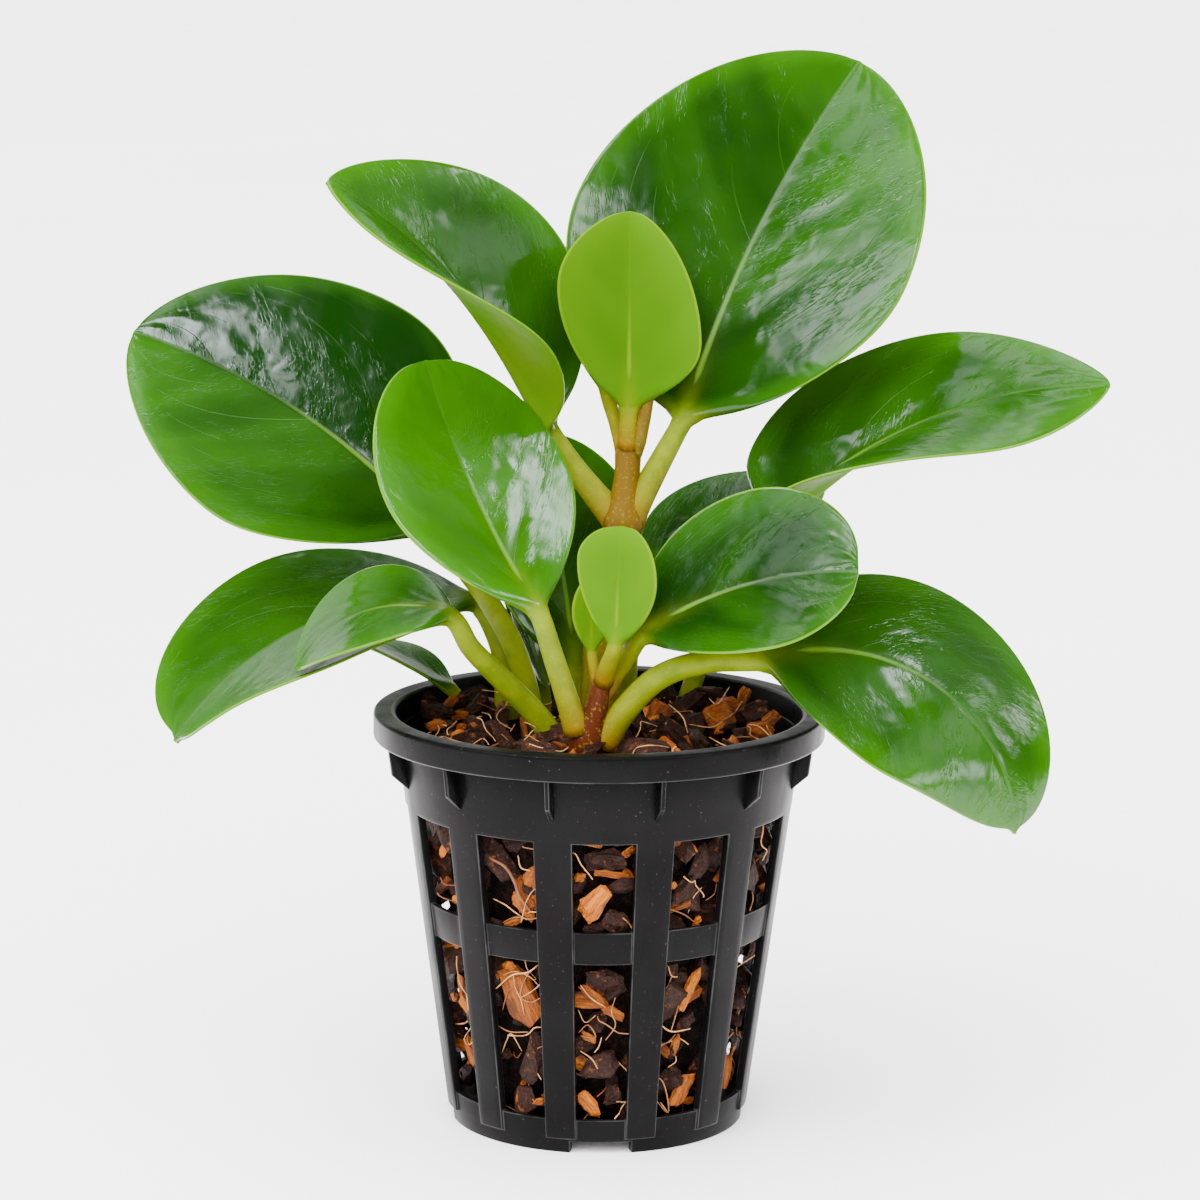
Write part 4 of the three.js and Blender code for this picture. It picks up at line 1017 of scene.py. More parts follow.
def wall_piece(material):
    """The slotted wall with its proud ribs, band and notched foot. It is made of cells that
    stand at one of three levels: 1 for the ribs and the upper wall, 0 for the bands and -1 for
    the inner face."""
    angles, parts = pot_angles()
    # the bare numbers only divide long faces
    heights = [0, NOTCH_HEIGHT, RIB_BOTTOM, LOWER_SLOT[0], 18, 29, LOWER_SLOT[1], UPPER_SLOT[0],
               55, UPPER_SLOT[1], UPPER_SLOT[1] + SHOULDER, 71, RIM_BOTTOM + 1]
    count, rows = len(angles), len(heights) - 1
    points, index, faces = [], {}, []

    def outer(i, j):
        """Outer level of a cell, or -1 where it is open."""
        kind, number = parts[i % count]
        low = heights[j]
        if low < NOTCH_HEIGHT:
            notched = number % 1 == 0 and round(number) % SLOTS % (SLOTS // NOTCHES) == 0
            return -1 if notched else 0
        if low < RIB_BOTTOM:
            return 0
        if low >= UPPER_SLOT[1] or kind == "rib":
            return 1
        in_slot = LOWER_SLOT[0] <= low < LOWER_SLOT[1] or UPPER_SLOT[0] <= low < UPPER_SLOT[1]
        return -1 if in_slot else 0

    def depth(level, z):
        """How far a level lies inside the ribs' face."""
        if level >= 0:
            return 0 if level else RIB_PROUD
        if z <= RIB_BOTTOM:
            return RIB_PROUD + FOOT_WIDTH
        return RIB_PROUD + WALL if z <= UPPER_SLOT[1] else WALL

    def corner(i, j, level):
        key = (i % count, j, level)
        if key not in index:
            z, a = heights[j], angles[i % count]
            r = wall_radius(z) - depth(level, z)
            index[key] = len(points)
            points.append((r * math.cos(a), r * math.sin(a), z))
        return index[key]

    def quad(*corners):
        return [corner(*place) for place in corners]

    def shoulders(first, second, here, there):
        """The faces between two cells' outer levels, along the edge from first to second."""
        for low in range(min(here, there), max(here, there)):
            yield quad((*first, low), (*first, low + 1), (*second, low + 1), (*second, low))

    for j in range(rows):
        for i in range(count):
            here = outer(i, j)
            if here >= 0:
                faces.append(quad((i, j, here), (i + 1, j, here), (i + 1, j + 1, here), (i, j + 1, here)))
                faces.append(quad((i, j + 1, -1), (i + 1, j + 1, -1), (i + 1, j, -1), (i, j, -1)))
            beside = outer(i + 1, j)
            for ring in shoulders((i + 1, j), (i + 1, j + 1), here, beside):
                faces.append(ring[::-1] if here > beside else ring)
            above = outer(i, j + 1) if j + 1 < rows else -1
            for ring in shoulders((i, j + 1), (i + 1, j + 1), here, above):
                faces.append(ring if here > above else ring[::-1])
            if j == 0:
                for low in range(-1, here):
                    faces.append(quad((i, 0, low), (i + 1, 0, low), (i + 1, 0, low + 1), (i, 0, low + 1)))
    return new_piece("wall", points, faces, material)


def rounded(corners, steps=4):
    """A closed outline of (radius, height, rounding) corners with each corner rounded."""
    made = []
    for i, (x, z, rounding) in enumerate(corners):
        here = np.array([x, z], float)
        if rounding <= 0:
            made.append(tuple(here))
            continue
        before = np.array(corners[i - 1][:2], float)
        after = np.array(corners[(i + 1) % len(corners)][:2], float)
        first = here + unit(before - here) * rounding
        second = here + unit(after - here) * rounding
        for t in (k / steps for k in range(steps + 1)):
            made.append(tuple((1 - t) ** 2 * first + 2 * t * (1 - t) * here + t * t * second))
    return made


def rim_piece(material):
    """The rim, a ring turned from its outline."""
    wall = wall_radius(RIM_BOTTOM)
    profile = rounded([
        (RIM_INNER, POT_HEIGHT, 0.9), (RIM_RADIUS, POT_HEIGHT, 0.8), (RIM_RADIUS, RIM_BOTTOM, 0.6),
        (wall - 0.2, RIM_BOTTOM, 0), (wall - WALL + 0.05, RIM_BOTTOM, 0.4),
    ])
    points = [(r * c, r * s, z) for c, s in circle(1, RIM_STEPS) for r, z in profile]
    count, faces = len(profile), []
    for i in range(RIM_STEPS):
        n = (i + 1) % RIM_STEPS
        for k in range(count):
            m = (k + 1) % count
            faces.append((i * count + k, n * count + k, n * count + m, i * count + m))
    return new_piece("rim", points, faces, material)


def fin_pieces(material):
    """The small fins under the rim, one at the middle of every rib."""
    top, low = RIM_BOTTOM + 0.6, RIM_BOTTOM - FIN_HEIGHT
    profile = [
        (wall_radius(top) - 0.6, top), (wall_radius(low) - 0.6, low), (wall_radius(low) + 0.02, low),
        (wall_radius(low + FIN_SLOPE) + FIN_REACH, low + FIN_SLOPE), (wall_radius(top) + FIN_REACH, top),
    ]
    count = len(profile)
    faces = [tuple(range(count))[::-1], tuple(range(count, 2 * count))]
    faces += [(k, (k + 1) % count, (k + 1) % count + count, k + count) for k in range(count)]
    fins = []
    for i in range(SLOTS):
        angle = math.radians(SLOT_PHASE + (i + 0.5) * 360 / SLOTS)
        flat = turned([(r, side * FIN_THICK) for side in (-0.5, 0.5) for r, _ in profile], angle)
        points = [(x, y, z) for (x, y), (_, z) in zip(flat, profile * 2)]
        fins.append(new_piece("fin", points, faces, material))
    return fins


def floor_piece(material):
    """The pot's raised floor with its centre hole and radial drains, filled between outlines."""
    plate = bpy.data.curves.new("floor_outline", "CURVE")
    plate.dimensions = "2D"
    plate.fill_mode = "BOTH"
    plate.extrude = (FLOOR_TOP - FLOOR_BOTTOM) / 2 * MM
    near, far, width = DRAIN
    drain = []
    for centre, start in ((far - width / 2, -90), (near + width / 2, 90)):
        for turn in (math.radians(start + 180 * k / 8) for k in range(9)):
            drain.append((centre + width / 2 * math.cos(turn), width / 2 * math.sin(turn)))
    angles = [math.radians(SLOT_PHASE + i * 360 / DRAIN_COUNT) for i in range(DRAIN_COUNT)]
    edge = circle(wall_radius(FLOOR_TOP) - RIB_PROUD - WALL + 0.3, 120)
    for loop in (edge, circle(DRAIN_CENTRE, 48), *(turned(drain, angle) for angle in angles)):
        spline = plate.splines.new("POLY")
        spline.points.add(len(loop) - 1)
        for point, (x, y) in zip(spline.points, loop):
            point.co = (x * MM, y * MM, 0, 1)
        spline.use_cyclic_u = True
    holder = new_object("floor_outline", plate)
    mesh = plain_mesh(holder)
    bpy.data.objects.remove(holder)
    shape = bmesh.new()
    shape.from_mesh(mesh)
    bmesh.ops.remove_doubles(shape, verts=shape.verts, dist=1e-6)
    bmesh.ops.translate(shape, verts=shape.verts, vec=(0, 0, (FLOOR_TOP + FLOOR_BOTTOM) / 2 * MM))
    bmesh.ops.recalc_face_normals(shape, faces=shape.faces)
    shape.to_mesh(mesh)
    shape.free()
    mesh.materials.clear()
    mesh.materials.append(material)
    return new_object("pot_floor", mesh)


def make_pot():
    """The moulding in one piece, its edges rounded and painted paler in places, as rubbed wear and as
    painted highlight.
    """
    # the second material is the paler edge: rubbed wear and painted highlight
    plastic, worn = plastic_material(), highlit_worn_edge_material()
    pieces = [wall_piece(plastic), rim_piece(plastic), *fin_pieces(plastic), floor_piece(plastic)]
    for piece in pieces:
        piece.data.materials.append(worn)
        if piece.name.startswith("rim"):
            # already rounded; its lowest outer and its upper inner edge are painted paler, as rubbed wear
            # and as painted highlight
            for face in piece.data.polygons:
                r, z = math.hypot(face.center.x, face.center.y) / MM, face.center.z / MM
                lower = z < RIM_BOTTOM + 0.45 and r > RIM_RADIUS - 0.45
                upper = z > POT_HEIGHT - 0.6 and r < RIM_INNER + 0.7
                face.material_index = int(lower or upper)
            continue
        edge = piece.modifiers.new("edges", "BEVEL")
        edge.width = 0.22 * MM
        edge.segments = 2
        # the bevelled edges take the paler edge material: rubbed wear and painted highlight
        edge.material = 1
        edge.limit_method = "ANGLE"
        edge.angle_limit = math.radians(32)
        apply_modifiers(piece)
    pot = join("basket_pot", pieces)
    pot.data.shade_smooth()
    pot.data.set_sharp_from_angle(angle=math.radians(38))
    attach(pot, "root")
    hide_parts("net_pot")


# ---- bed of bark -----------------------------------------------------------------------------


def bark_material():
    """Dark pine bark: layered, purple-brown, with paler worn edges; each chip a shade of its own."""
    n = Paint("dark_bark")
    place, tint, local = n.place(), n.fact("tint"), n.fact("local", "Vector")
    layers = n.noise(n.scaled(local, (0.5, 0.8, 3.5)), 520, 4, 0.65, 0.6)
    flakes = n.noise(local, 900, 4, 0.7, 0.8)
    share = n.ramp(tint, 0.0, 1.0, kind="LINEAR")
    base = n.blend(share, (0.0058, 0.002, 0.0013), (0.019, 0.0078, 0.0052))
    base = n.blend(n.ramp(layers, 0.4, 0.7, 0, 0.7), base, (0.036, 0.0145, 0.009))
    base = n.blend(n.ramp(flakes, 0.36, 0.5, 0.7, 0), base, (0.004, 0.0018, 0.0014))
    worn = n.ramp(n.noise(place, 420, 3, 0.7), 0.58, 0.68, 0, 0.75)
    base = n.blend(worn, base, (0.12, 0.034, 0.009))
    height = n.plus(layers, n.times(flakes, 0.5))
    return n.finished(base, n.ramp(layers, 0.3, 0.7, 0.4, 0.7), 0.12, n.bump(height, 0.9 * MM))


def husk_material():
    """Orange-brown husk chips with fine fibres along them and paler cut faces."""
    n = Paint("husk")
    tint, local = n.fact("tint"), n.fact("local", "Vector")
    fibres = n.noise(n.scaled(local, (0.12, 1, 1)), 1700, 4, 0.65, 0.4)
    patches = n.noise(n.scaled(local, (0.6, 1, 1)), 190, 3, 0.6)
    share = n.ramp(tint, 0.0, 1.0, kind="LINEAR")
    base = n.blend(share, (0.075, 0.0135, 0.001), (0.25, 0.06, 0.0015))
    pale = n.blend(share, (0.16, 0.045, 0.002), (0.42, 0.135, 0.006))
    base = n.blend(n.ramp(fibres, 0.45, 0.62, 0, 0.6), base, pale)
    base = n.blend(n.ramp(fibres, 0.34, 0.46, 0.8, 0), base, (0.045, 0.011, 0.003))
    base = n.blend(n.ramp(patches, 0.5, 0.66, 0, 0.85), base, (0.035, 0.01, 0.004))
    return n.finished(base, 0.7, 0.2, n.bump(fibres, 0.5 * MM))


def fibre_material():
    """Roots and husk fibres, from pale to brown, darker in places."""
    n = Paint("root_fibre")
    base = n.blend(n.ramp(n.fact("tint"), 0.25, 1.0), (0.1, 0.024, 0.004), (0.4, 0.2, 0.06))
    dark = n.ramp(n.noise(n.place(), 500), 0.45, 0.7, 0, 0.7)
    return n.finished(n.blend(dark, base, (0.06, 0.016, 0.005)), 0.6)


def crumbs_and_shade_material():
    """The dark crumbs deep between the chips, painted near black for the shade that fills the gaps."""
    n = Paint("deep_crumbs")
    crumbs = n.noise(n.place(), 600, 4, 0.7)
    # near black: the crumbs' own dark brown deepened into painted shade between the chips
    tone = n.blend(n.ramp(crumbs, 0.4, 0.75), (0.0008, 0.0004, 0.0003), (0.009, 0.0032, 0.0018))
    return n.finished(tone, 0.95, 0.1, n.bump(crumbs, 1.2 * MM))


def bed_height(x, y):
    """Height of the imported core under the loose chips."""
    share = min(1.0, math.hypot(x, y) / MOUTH)
    away = ((x - HEAP[0]) ** 2 + (y - HEAP[1]) ** 2) / HEAP[3] ** 2
    return BED_TOP + BED_MOUND * (1 - share**2) + HEAP[2] * math.exp(-away)


def core_piece(material):
    """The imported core, recessed behind the slots, with a mound on top."""
    steps, points = 72, []
    levels = np.linspace(BED_BOTTOM, BED_TOP - 1.5, 16)
    for z in levels:
        edge = wall_radius(z) - RIB_PROUD - WALL - BED_RECESS
        points += [(x, y, z) for x, y in circle(edge, steps)]
    shares = (0.98, 0.85, 0.7, 0.55, 0.4, 0.25, 0.1)
    for share in shares:
        points += [(x, y, bed_height(x, y) - CHIP_DEPTH) for x, y in circle(edge * share, steps)]
    faces = tube_faces(len(levels) + len(shares), steps, len(points), len(points) + 1)
    points += [(0, 0, BED_BOTTOM), (0, 0, bed_height(0, 0) - CHIP_DEPTH)]
    return new_piece("bark_core", points, faces, material)


def chip_mesh(name, size, corners, cuts, rough, generator):
    """One chip: the hull of points on a flattened, boxy ball, cut finer and roughened, more so at
    its torn ends, with its own coordinates kept for the grain."""
    spread = unit(generator.normal(size=(corners, 3)))
    spread = np.sign(spread) * np.abs(spread) ** 0.7 * generator.uniform(0.8, 1.05, (corners, 1))
    shape = bmesh.new()
    for point in spread * np.array(size) / 2 * MM:
        shape.verts.new(point)
    bmesh.ops.convex_hull(shape, input=shape.verts)
    loose = [v for v in shape.verts if not v.link_faces]
    bmesh.ops.delete(shape, geom=loose, context="VERTS")
    bmesh.ops.dissolve_limit(shape, angle_limit=0.25, verts=shape.verts, edges=shape.edges)
    bmesh.ops.triangulate(shape, faces=shape.faces)
    for _ in range(cuts):
        bmesh.ops.subdivide_edges(shape, edges=shape.edges, cuts=1, use_grid_fill=True)
        bmesh.ops.triangulate(shape, faces=shape.faces)
    bmesh.ops.recalc_face_normals(shape, faces=shape.faces)
    for vertex in shape.verts:
        torn = abs(vertex.co.x) / (size[0] / 2 * MM)
        vertex.co += vertex.normal * generator.uniform(-1, 1) * rough * MM
        vertex.co.x *= 1 + 0.14 * generator.uniform(-1, 0.6) * torn**4
    mesh = bpy.data.meshes.new(name)
    shape.to_mesh(mesh)
    shape.free()
    store(mesh, "local", [v.co[:] for v in mesh.vertices], "FLOAT_VECTOR")
    return mesh


def chip_shapes(name, count, size, corners, rough, seed):
    """A few lumps of bark or husk to scatter."""
    generator = np.random.default_rng(seed)
    shapes = bpy.data.collections.new(name)
    for label in (f"{name}_{i}" for i in range(count)):
        chip_size = np.array(size) * generator.uniform(0.8, 1.2, 3)
        mesh = chip_mesh(label, chip_size, corners, 1, rough, generator)
        shapes.objects.link(bpy.data.objects.new(label, mesh))
    return shapes


def remove_shapes(shapes):
    for chip in list(shapes.objects):
        bpy.data.objects.remove(chip)
    bpy.data.collections.remove(shapes)


class Growth(Nodes):
    """A geometry tree with a named input for every value, run over a copy of a piece."""

    def __init__(self, name, values):
        super().__init__(bpy.data.node_groups.new(name, "GeometryNodeTree"))
        self.name, self.values, self.sockets = name, values, {}
        kinds = {"Geometry": "Geometry", "Seed": "Int", "Shapes": "Collection"}
        for label in ("Geometry", *values):
            kind = "NodeSocket" + kinds.get(label, "Float")
            self.sockets[label] = self.tree.interface.new_socket(label, in_out="INPUT", socket_type=kind)
        self.tree.interface.new_socket("Geometry", in_out="OUTPUT", socket_type="NodeSocketGeometry")
        self.get = self.add("NodeGroupInput").outputs

    def grown(self, source, geometry, material):
        """Gives the geometry its material, runs the tree and keeps the result as a plain mesh."""
        whole = self.out("GeometryNodeSetMaterial", {"Geometry": geometry, "Material": material})
        self.add("NodeGroupOutput", {0: whole})
        piece = new_object(self.name, source.data.copy())
        grow = piece.modifiers.new("scatter", "NODES")
        grow.node_group = self.tree
        for label, value in self.values.items():
            grow[self.sockets[label].identifier] = value
        return apply_modifiers(piece)


def kept_inside(n, geometry, reach):
    """Pulls points back to the inside of the wall and under the bed's highest point."""
    x, y, z = n.add("ShaderNodeSeparateXYZ", {0: n.out("GeometryNodeInputPosition")}).outputs
    flat = n.out("ShaderNodeCombineXYZ", {0: x, 1: y, 2: 0.0})
    away = n.out("ShaderNodeVectorMath", {0: flat}, "Value", operation="LENGTH")
    limit = n.times_plus(z, TAPER, (FOOT_RADIUS - RIB_PROUD - WALL) * MM)
    limit = n.plus(n.math("MINIMUM", limit, MOUTH * MM), reach)
    share = n.math("MINIMUM", n.math("DIVIDE", limit, away), 1.0)
    height = n.math("MINIMUM", n.math("MAXIMUM", z, BED_BOTTOM * MM), BED_HIGHEST * MM)
    x, y, _ = n.add("ShaderNodeSeparateXYZ", {0: n.sized(flat, share)}).outputs
    place = n.out("ShaderNodeCombineXYZ", {0: x, 1: y, 2: height})
    return n.out("GeometryNodeSetPosition", {"Geometry": geometry, "Position": place})


def spots_on(n, method, band, steep, **more):
    """Random spots on the core's faces between two heights that face sideways or, if not steep,
    upwards."""
    def compare(value, limit, operation):
        return n.out("FunctionNodeCompare", {0: value, 1: limit}, data_type="FLOAT", operation=operation)

    def both(first, second):
        return n.out("FunctionNodeBooleanMath", {0: first, 1: second}, operation="AND")

    z = n.out("ShaderNodeSeparateXYZ", {0: n.out("GeometryNodeInputPosition")}, "Z")
    facing = n.out("ShaderNodeSeparateXYZ", {0: n.out("GeometryNodeInputNormal")}, "Z")
    low, high = band
    between = both(compare(z, low * MM, "GREATER_THAN"), compare(z, high * MM, "LESS_THAN"))
    chosen = both(between, compare(facing, 0.4, "LESS_THAN" if steep else "GREATER_THAN"))
    inputs = {"Mesh": n.get["Geometry"], "Selection": chosen, "Seed": n.get["Seed"], **more}
    return n.add("GeometryNodeDistributePointsOnFaces", inputs, distribute_method=method)


def strewn(n, spots, lift, tilts, thing, sizes, tint_seed):
    """Sets a thing on every spot: lifted off the core, turned and sized at random, with a tint of
    its own."""
    normal, seed = spots.outputs["Normal"], n.get["Seed"]
    lifted = {"Geometry": spots.outputs["Points"], "Offset": n.sized(normal, lift)}
    spin = n.out("FunctionNodeEulerToRotation", {0: n.random(*tilts, seed, "FLOAT_VECTOR")})
    facing = n.out("FunctionNodeAlignRotationToVector", {"Vector": normal}, axis="Z")
    rotation = n.out("FunctionNodeRotateRotation", {0: facing, 1: spin}, rotation_space="LOCAL")
    placed = n.out("GeometryNodeInstanceOnPoints", {
        "Points": n.out("GeometryNodeSetPosition", lifted), "Rotation": rotation,
        "Scale": n.random(*sizes, seed), **thing,
    })
    tint = {"Geometry": placed, "Name": "tint", "Value": n.random(0.0, 1.0, tint_seed)}
    tinted = n.out("GeometryNodeStoreNamedAttribute", tint, data_type="FLOAT", domain="INSTANCE")
    return n.out("GeometryNodeRealizeInstances", {0: tinted})


def scatter_chips(name, core, shapes, material, steep, spacing, density, sizes, lift, tilt, seed):
    """Chips laid flat on the core, each turned, tilted and sized at random from a fixed seed."""
    n = Growth(name, {
        "Spacing": spacing * MM, "Density": density, "Smallest": sizes[0], "Largest": sizes[1],
        "Lift": lift * MM, "Tilt": tilt, "Seed": seed, "Shapes": shapes,
    })
    get = n.get
    near = {"Distance Min": get["Spacing"], "Density Max": get["Density"]}
    spots = spots_on(n, "POISSON", CHIP_BANDS[steep], steep, **near)
    back = n.times(get["Tilt"], -1.0)
    tilts = [n.out("ShaderNodeCombineXYZ", {0: most, 1: most, 2: spin})
             for most, spin in ((back, -math.pi), (get["Tilt"], math.pi))]
    whole = {"Collection": get["Shapes"], "Separate Children": True, "Reset Children": True}
    thing = {"Instance": n.out("GeometryNodeCollectionInfo", whole), "Pick Instance": True}
    between = (get["Smallest"], get["Largest"])
    chips = strewn(n, spots, get["Lift"], tilts, thing, between, n.plus(get["Seed"], 5.0))
    return n.grown(core, kept_inside(n, chips, -0.3 * MM), material)


def scatter_fibres(name, core, material, steep, density, longest, thick, lift, seed):
    """Thin curled roots and husk fibres lying over the chips."""
    n = Growth(name, {
        "Density": density, "Length": longest * MM, "Thickness": thick * MM, "Lift": lift * MM, "Seed": seed,
    })
    get = n.get
    spots = spots_on(n, "RANDOM", FIBRE_BANDS[steep], steep, Density=get["Density"])
    rise = n.random(n.times(get["Lift"], 0.3), get["Lift"], get["Seed"])
    tilts = (-0.6, -0.6, -math.pi), (0.6, 0.6, math.pi)
    bow = {"Resolution": 14, "Start": (-0.5, 0, 0), "Middle": (0.05, 0.34, 0.1), "End": (0.5, 0, 0)}
    thing = {"Instance": n.out("GeometryNodeCurveQuadraticBezier", bow)}
    sizes = n.times(get["Length"], 0.35), get["Length"]
    fibres = strewn(n, spots, rise, tilts, thing, sizes, get["Seed"])
    waves = {"Scale": 130.0, "Detail": 1.0, "W": 3.1}
    swing = n.out("ShaderNodeTexNoise", waves, "Color", noise_dimensions="4D")
    swing = n.out("ShaderNodeVectorMath", {0: swing, 1: (0.5, 0.5, 0.5)}, operation="SUBTRACT")
    moved = {"Geometry": fibres, "Offset": n.sized(swing, FIBRE_SWING * MM)}
    section = {"Resolution": 5, "Radius": n.times(get["Thickness"], 0.5)}
    tube = n.out("GeometryNodeCurveToMesh", {
        "Curve": kept_inside(n, n.out("GeometryNodeSetPosition", moved), 0.6 * MM),
        "Profile Curve": n.out("GeometryNodeCurvePrimitiveCircle", section), "Fill Caps": True,
    })
    return n.grown(core, tube, material)


# Chips seen best in the openings, laid along the wall: middle, length, width and thickness,
# turn of the long side in the broad face, tint.
CHIPS_IN_OPENINGS = {
    "bark": [
        ((1.9, -33.2, 60.2), (10.5, 5, 3), 4, 0.45), ((3.4, -32.6, 47.9), (5, 5.6, 3), 70, 0.55),
        ((-0.4, -32.8, 46.5), (6, 2.2, 2), 5, 0.35), ((19.6, -27.3, 58.4), (8, 5.5, 2.4), 62, 0.6),
        ((17.7, -28, 51.5), (9, 5.5, 2.2), -38, 0.4), ((-12.3, -26.1, 18.5), (12.5, 5.6, 3.2), 82, 0.45),
        ((0.7, -29, 17.7), (8.6, 7, 3.6), 10, 0.4), ((3.2, -27.9, 11.5), (5, 4, 2.4), 80, 0.5),
        ((-0.1, -30.7, 36.4), (5, 3, 2), 10, 0.7), ((3.5, -29.9, 33.4), (5.2, 4, 2.4), 60, 0.3),
        ((17.4, -24.1, 25.2), (5, 3, 2), 40, 0.7), ((15, -23.3, 14.3), (5, 3.6, 2.2), 80, 0.3),
        ((15.8, -25, 34.1), (6, 4, 2.4), 70, 0.3),
    ],
    "husk": [
        ((-0.4, -33.7, 51.7), (8.6, 5.6, 2.2), 52, 0.95), ((2.4, -33.8, 57.6), (9.5, 1.4, 1.2), -8, 0.25),
        ((5.7, -33.8, 62.2), (3.4, 2.6, 1.4), 30, 0.5), ((-3.4, -33.2, 56.5), (3, 2.4, 1.2), 60, 0.5),
        ((-12.2, -31.2, 56.2), (6, 4.6, 2), 60, 0.3), ((-14.8, -29.5, 50), (9, 3, 1.6), -50, 0.6),
        ((-16.7, -28.2, 46.4), (6.5, 1.6, 1.2), 30, 0.4), ((-11.9, -30.3, 51.4), (4.5, 3, 1.5), 70, 0.35),
        ((17.9, -29.5, 62.2), (4.5, 1.4, 1.2), -42, 0.75), ((14.3, -30.6, 54.7), (2.4, 1.6, 1.2), 20, 0.8),
        ((19.3, -26.6, 46.4), (2.8, 1.4, 1), 60, 0.7), ((-14.9, -27, 31.4), (14.5, 9.2, 3.2), -68, 0.22),
        ((-14.9, -23.9, 10.7), (8.5, 1.7, 1.4), 72, 0.2), ((-12, -25.4, 9.1), (4.6, 1.6, 1.2), 20, 0.35),
        ((-17.2, -25.6, 36.6), (4, 3, 1.6), 30, 0.7), ((-0.3, -30.7, 32.1), (9.5, 2.2, 1.5), -42, 0.12),
        ((3.1, -30.4, 29), (5.5, 2.2, 1.5), -30, 0.2), ((-1.4, -28.2, 9.8), (7.4, 3.4, 1.6), -50, 0.7),
        ((-1.8, -29.9, 23.8), (4.4, 1.6, 1.2), -30, 0.5), ((18, -25.3, 32.5), (10.6, 2.9, 1.5), 66, 0.85),
        ((16.8, -22.8, 11.1), (8.8, 4.2, 1.8), 58, 0.45), ((15.3, -25.3, 21), (5, 1.7, 1.2), 72, 0.35),
        ((-26.9, -13.6, 29.6), (6, 3, 1.6), 75, 0.3), ((-25.2, -13.5, 16.2), (7, 3.4, 1.6), -70, 0.25),
        ((-27.6, -17.5, 48), (3.6, 2.2, 1.4), 10, 0.8), ((26, -10, 11.1), (9, 4, 1.8), 75, 0.3),
    ],
}
# Chips on top, with the way that the broad face looks (degrees from +X, and up) before the turn.
CHIPS_ON_TOP = {
    "bark": [
        ((12.4, -9.6, 77.8), (8.5, 5, 2.4), (-95, 42), -22, 0.6),
        ((11.1, -3.7, 79.5), (5, 4.4, 2.4), (-95, 42), 50, 0.3),
        ((5.3, -15.3, 77.4), (6.4, 3.2, 2.2), (-90, 40), -8, 0.35),
        ((-24.5, -8.6, 78), (8.4, 4.4, 3), (-90, 50), -6, 0.25),
        ((-18.3, -11.8, 77.6), (5.4, 3.2, 2.2), (-90, 48), -20, 0.5),
        ((-31.7, 1.3, 78.4), (7.5, 4.4, 2.6), (-95, 50), 10, 0.5),
        ((-35.8, 17, 80.6), (9, 5, 4), (-90, 38), -30, 0.2),
        ((-1.7, -16, 77.4), (6, 3, 2.2), (-90, 40), -30, 0.6),
        ((18, 16, 80.4), (9, 5, 4), (-90, 35), 15, 0.35), ((31.5, 9, 80.4), (8, 5, 3.4), (-80, 38), 20, 0.4),
        ((22, 21, 81.2), (10, 6, 4), (-90, 35), -10, 0.2), ((12, 25, 81), (9, 6, 4), (-95, 35), 10, 0.5),
        ((3, 28, 80.8), (9, 6, 4), (-90, 35), -20, 0.3), ((-6, 27, 80.6), (9, 6, 4), (-90, 35), 15, 0.4),
        ((-16, 26, 80.8), (10, 6, 4), (-90, 35), -12, 0.3),
        ((-26, 19, 80.8), (9, 5.5, 4), (-95, 38), 22, 0.45),
        ((-33, 9, 80.4), (9, 5, 3.6), (-105, 40), -20, 0.3),
    ],
    "husk": [
        ((-7, -11.1, 78), (9.2, 6.2, 4.2), (-80, 38), 18, 0.7),
        ((-26.6, 1.9, 78.6), (4.8, 1.7, 1.3), (-90, 50), -4, 0.5),
        ((-15.4, -16.3, 77.6), (3.4, 2.2, 1.4), (-90, 50), 20, 0.6),
        ((19.9, -10.2, 77.4), (7.4, 3.2, 1.8), (-80, 46), -28, 0.9),
        ((12.2, 7.9, 80.5), (6.2, 5.2, 2), (-88, 30), 62, 0.1),
        ((24.6, 5.6, 80.5), (8.6, 6.4, 4.4), (-80, 36), 10, 0.3),
        ((32.2, -3.6, 79.5), (6.2, 4.8, 3), (-85, 40), -10, 0.15),
        ((-32.4, -1.6, 79.6), (4.6, 3, 1.6), (-95, 50), 25, 0.1),
        ((-2.5, -9.8, 79), (4.6, 2, 1.4), (-90, 44), -46, 0.75),
        ((26, 13.5, 81), (7, 4.4, 2.6), (-85, 35), -25, 0.12),
        ((34.6, 3.5, 80.4), (6, 3.4, 2.2), (-75, 40), 40, 0.2),
        ((29, 18, 81.4), (6, 3, 2), (-85, 35), 60, 0.3), ((8, 20, 80.4), (6, 3.4, 2.2), (-90, 35), 30, 0.15),
        ((-30, 12.5, 81.4), (4.4, 2.4, 1.6), (-95, 40), 40, 0.15),
    ],
}
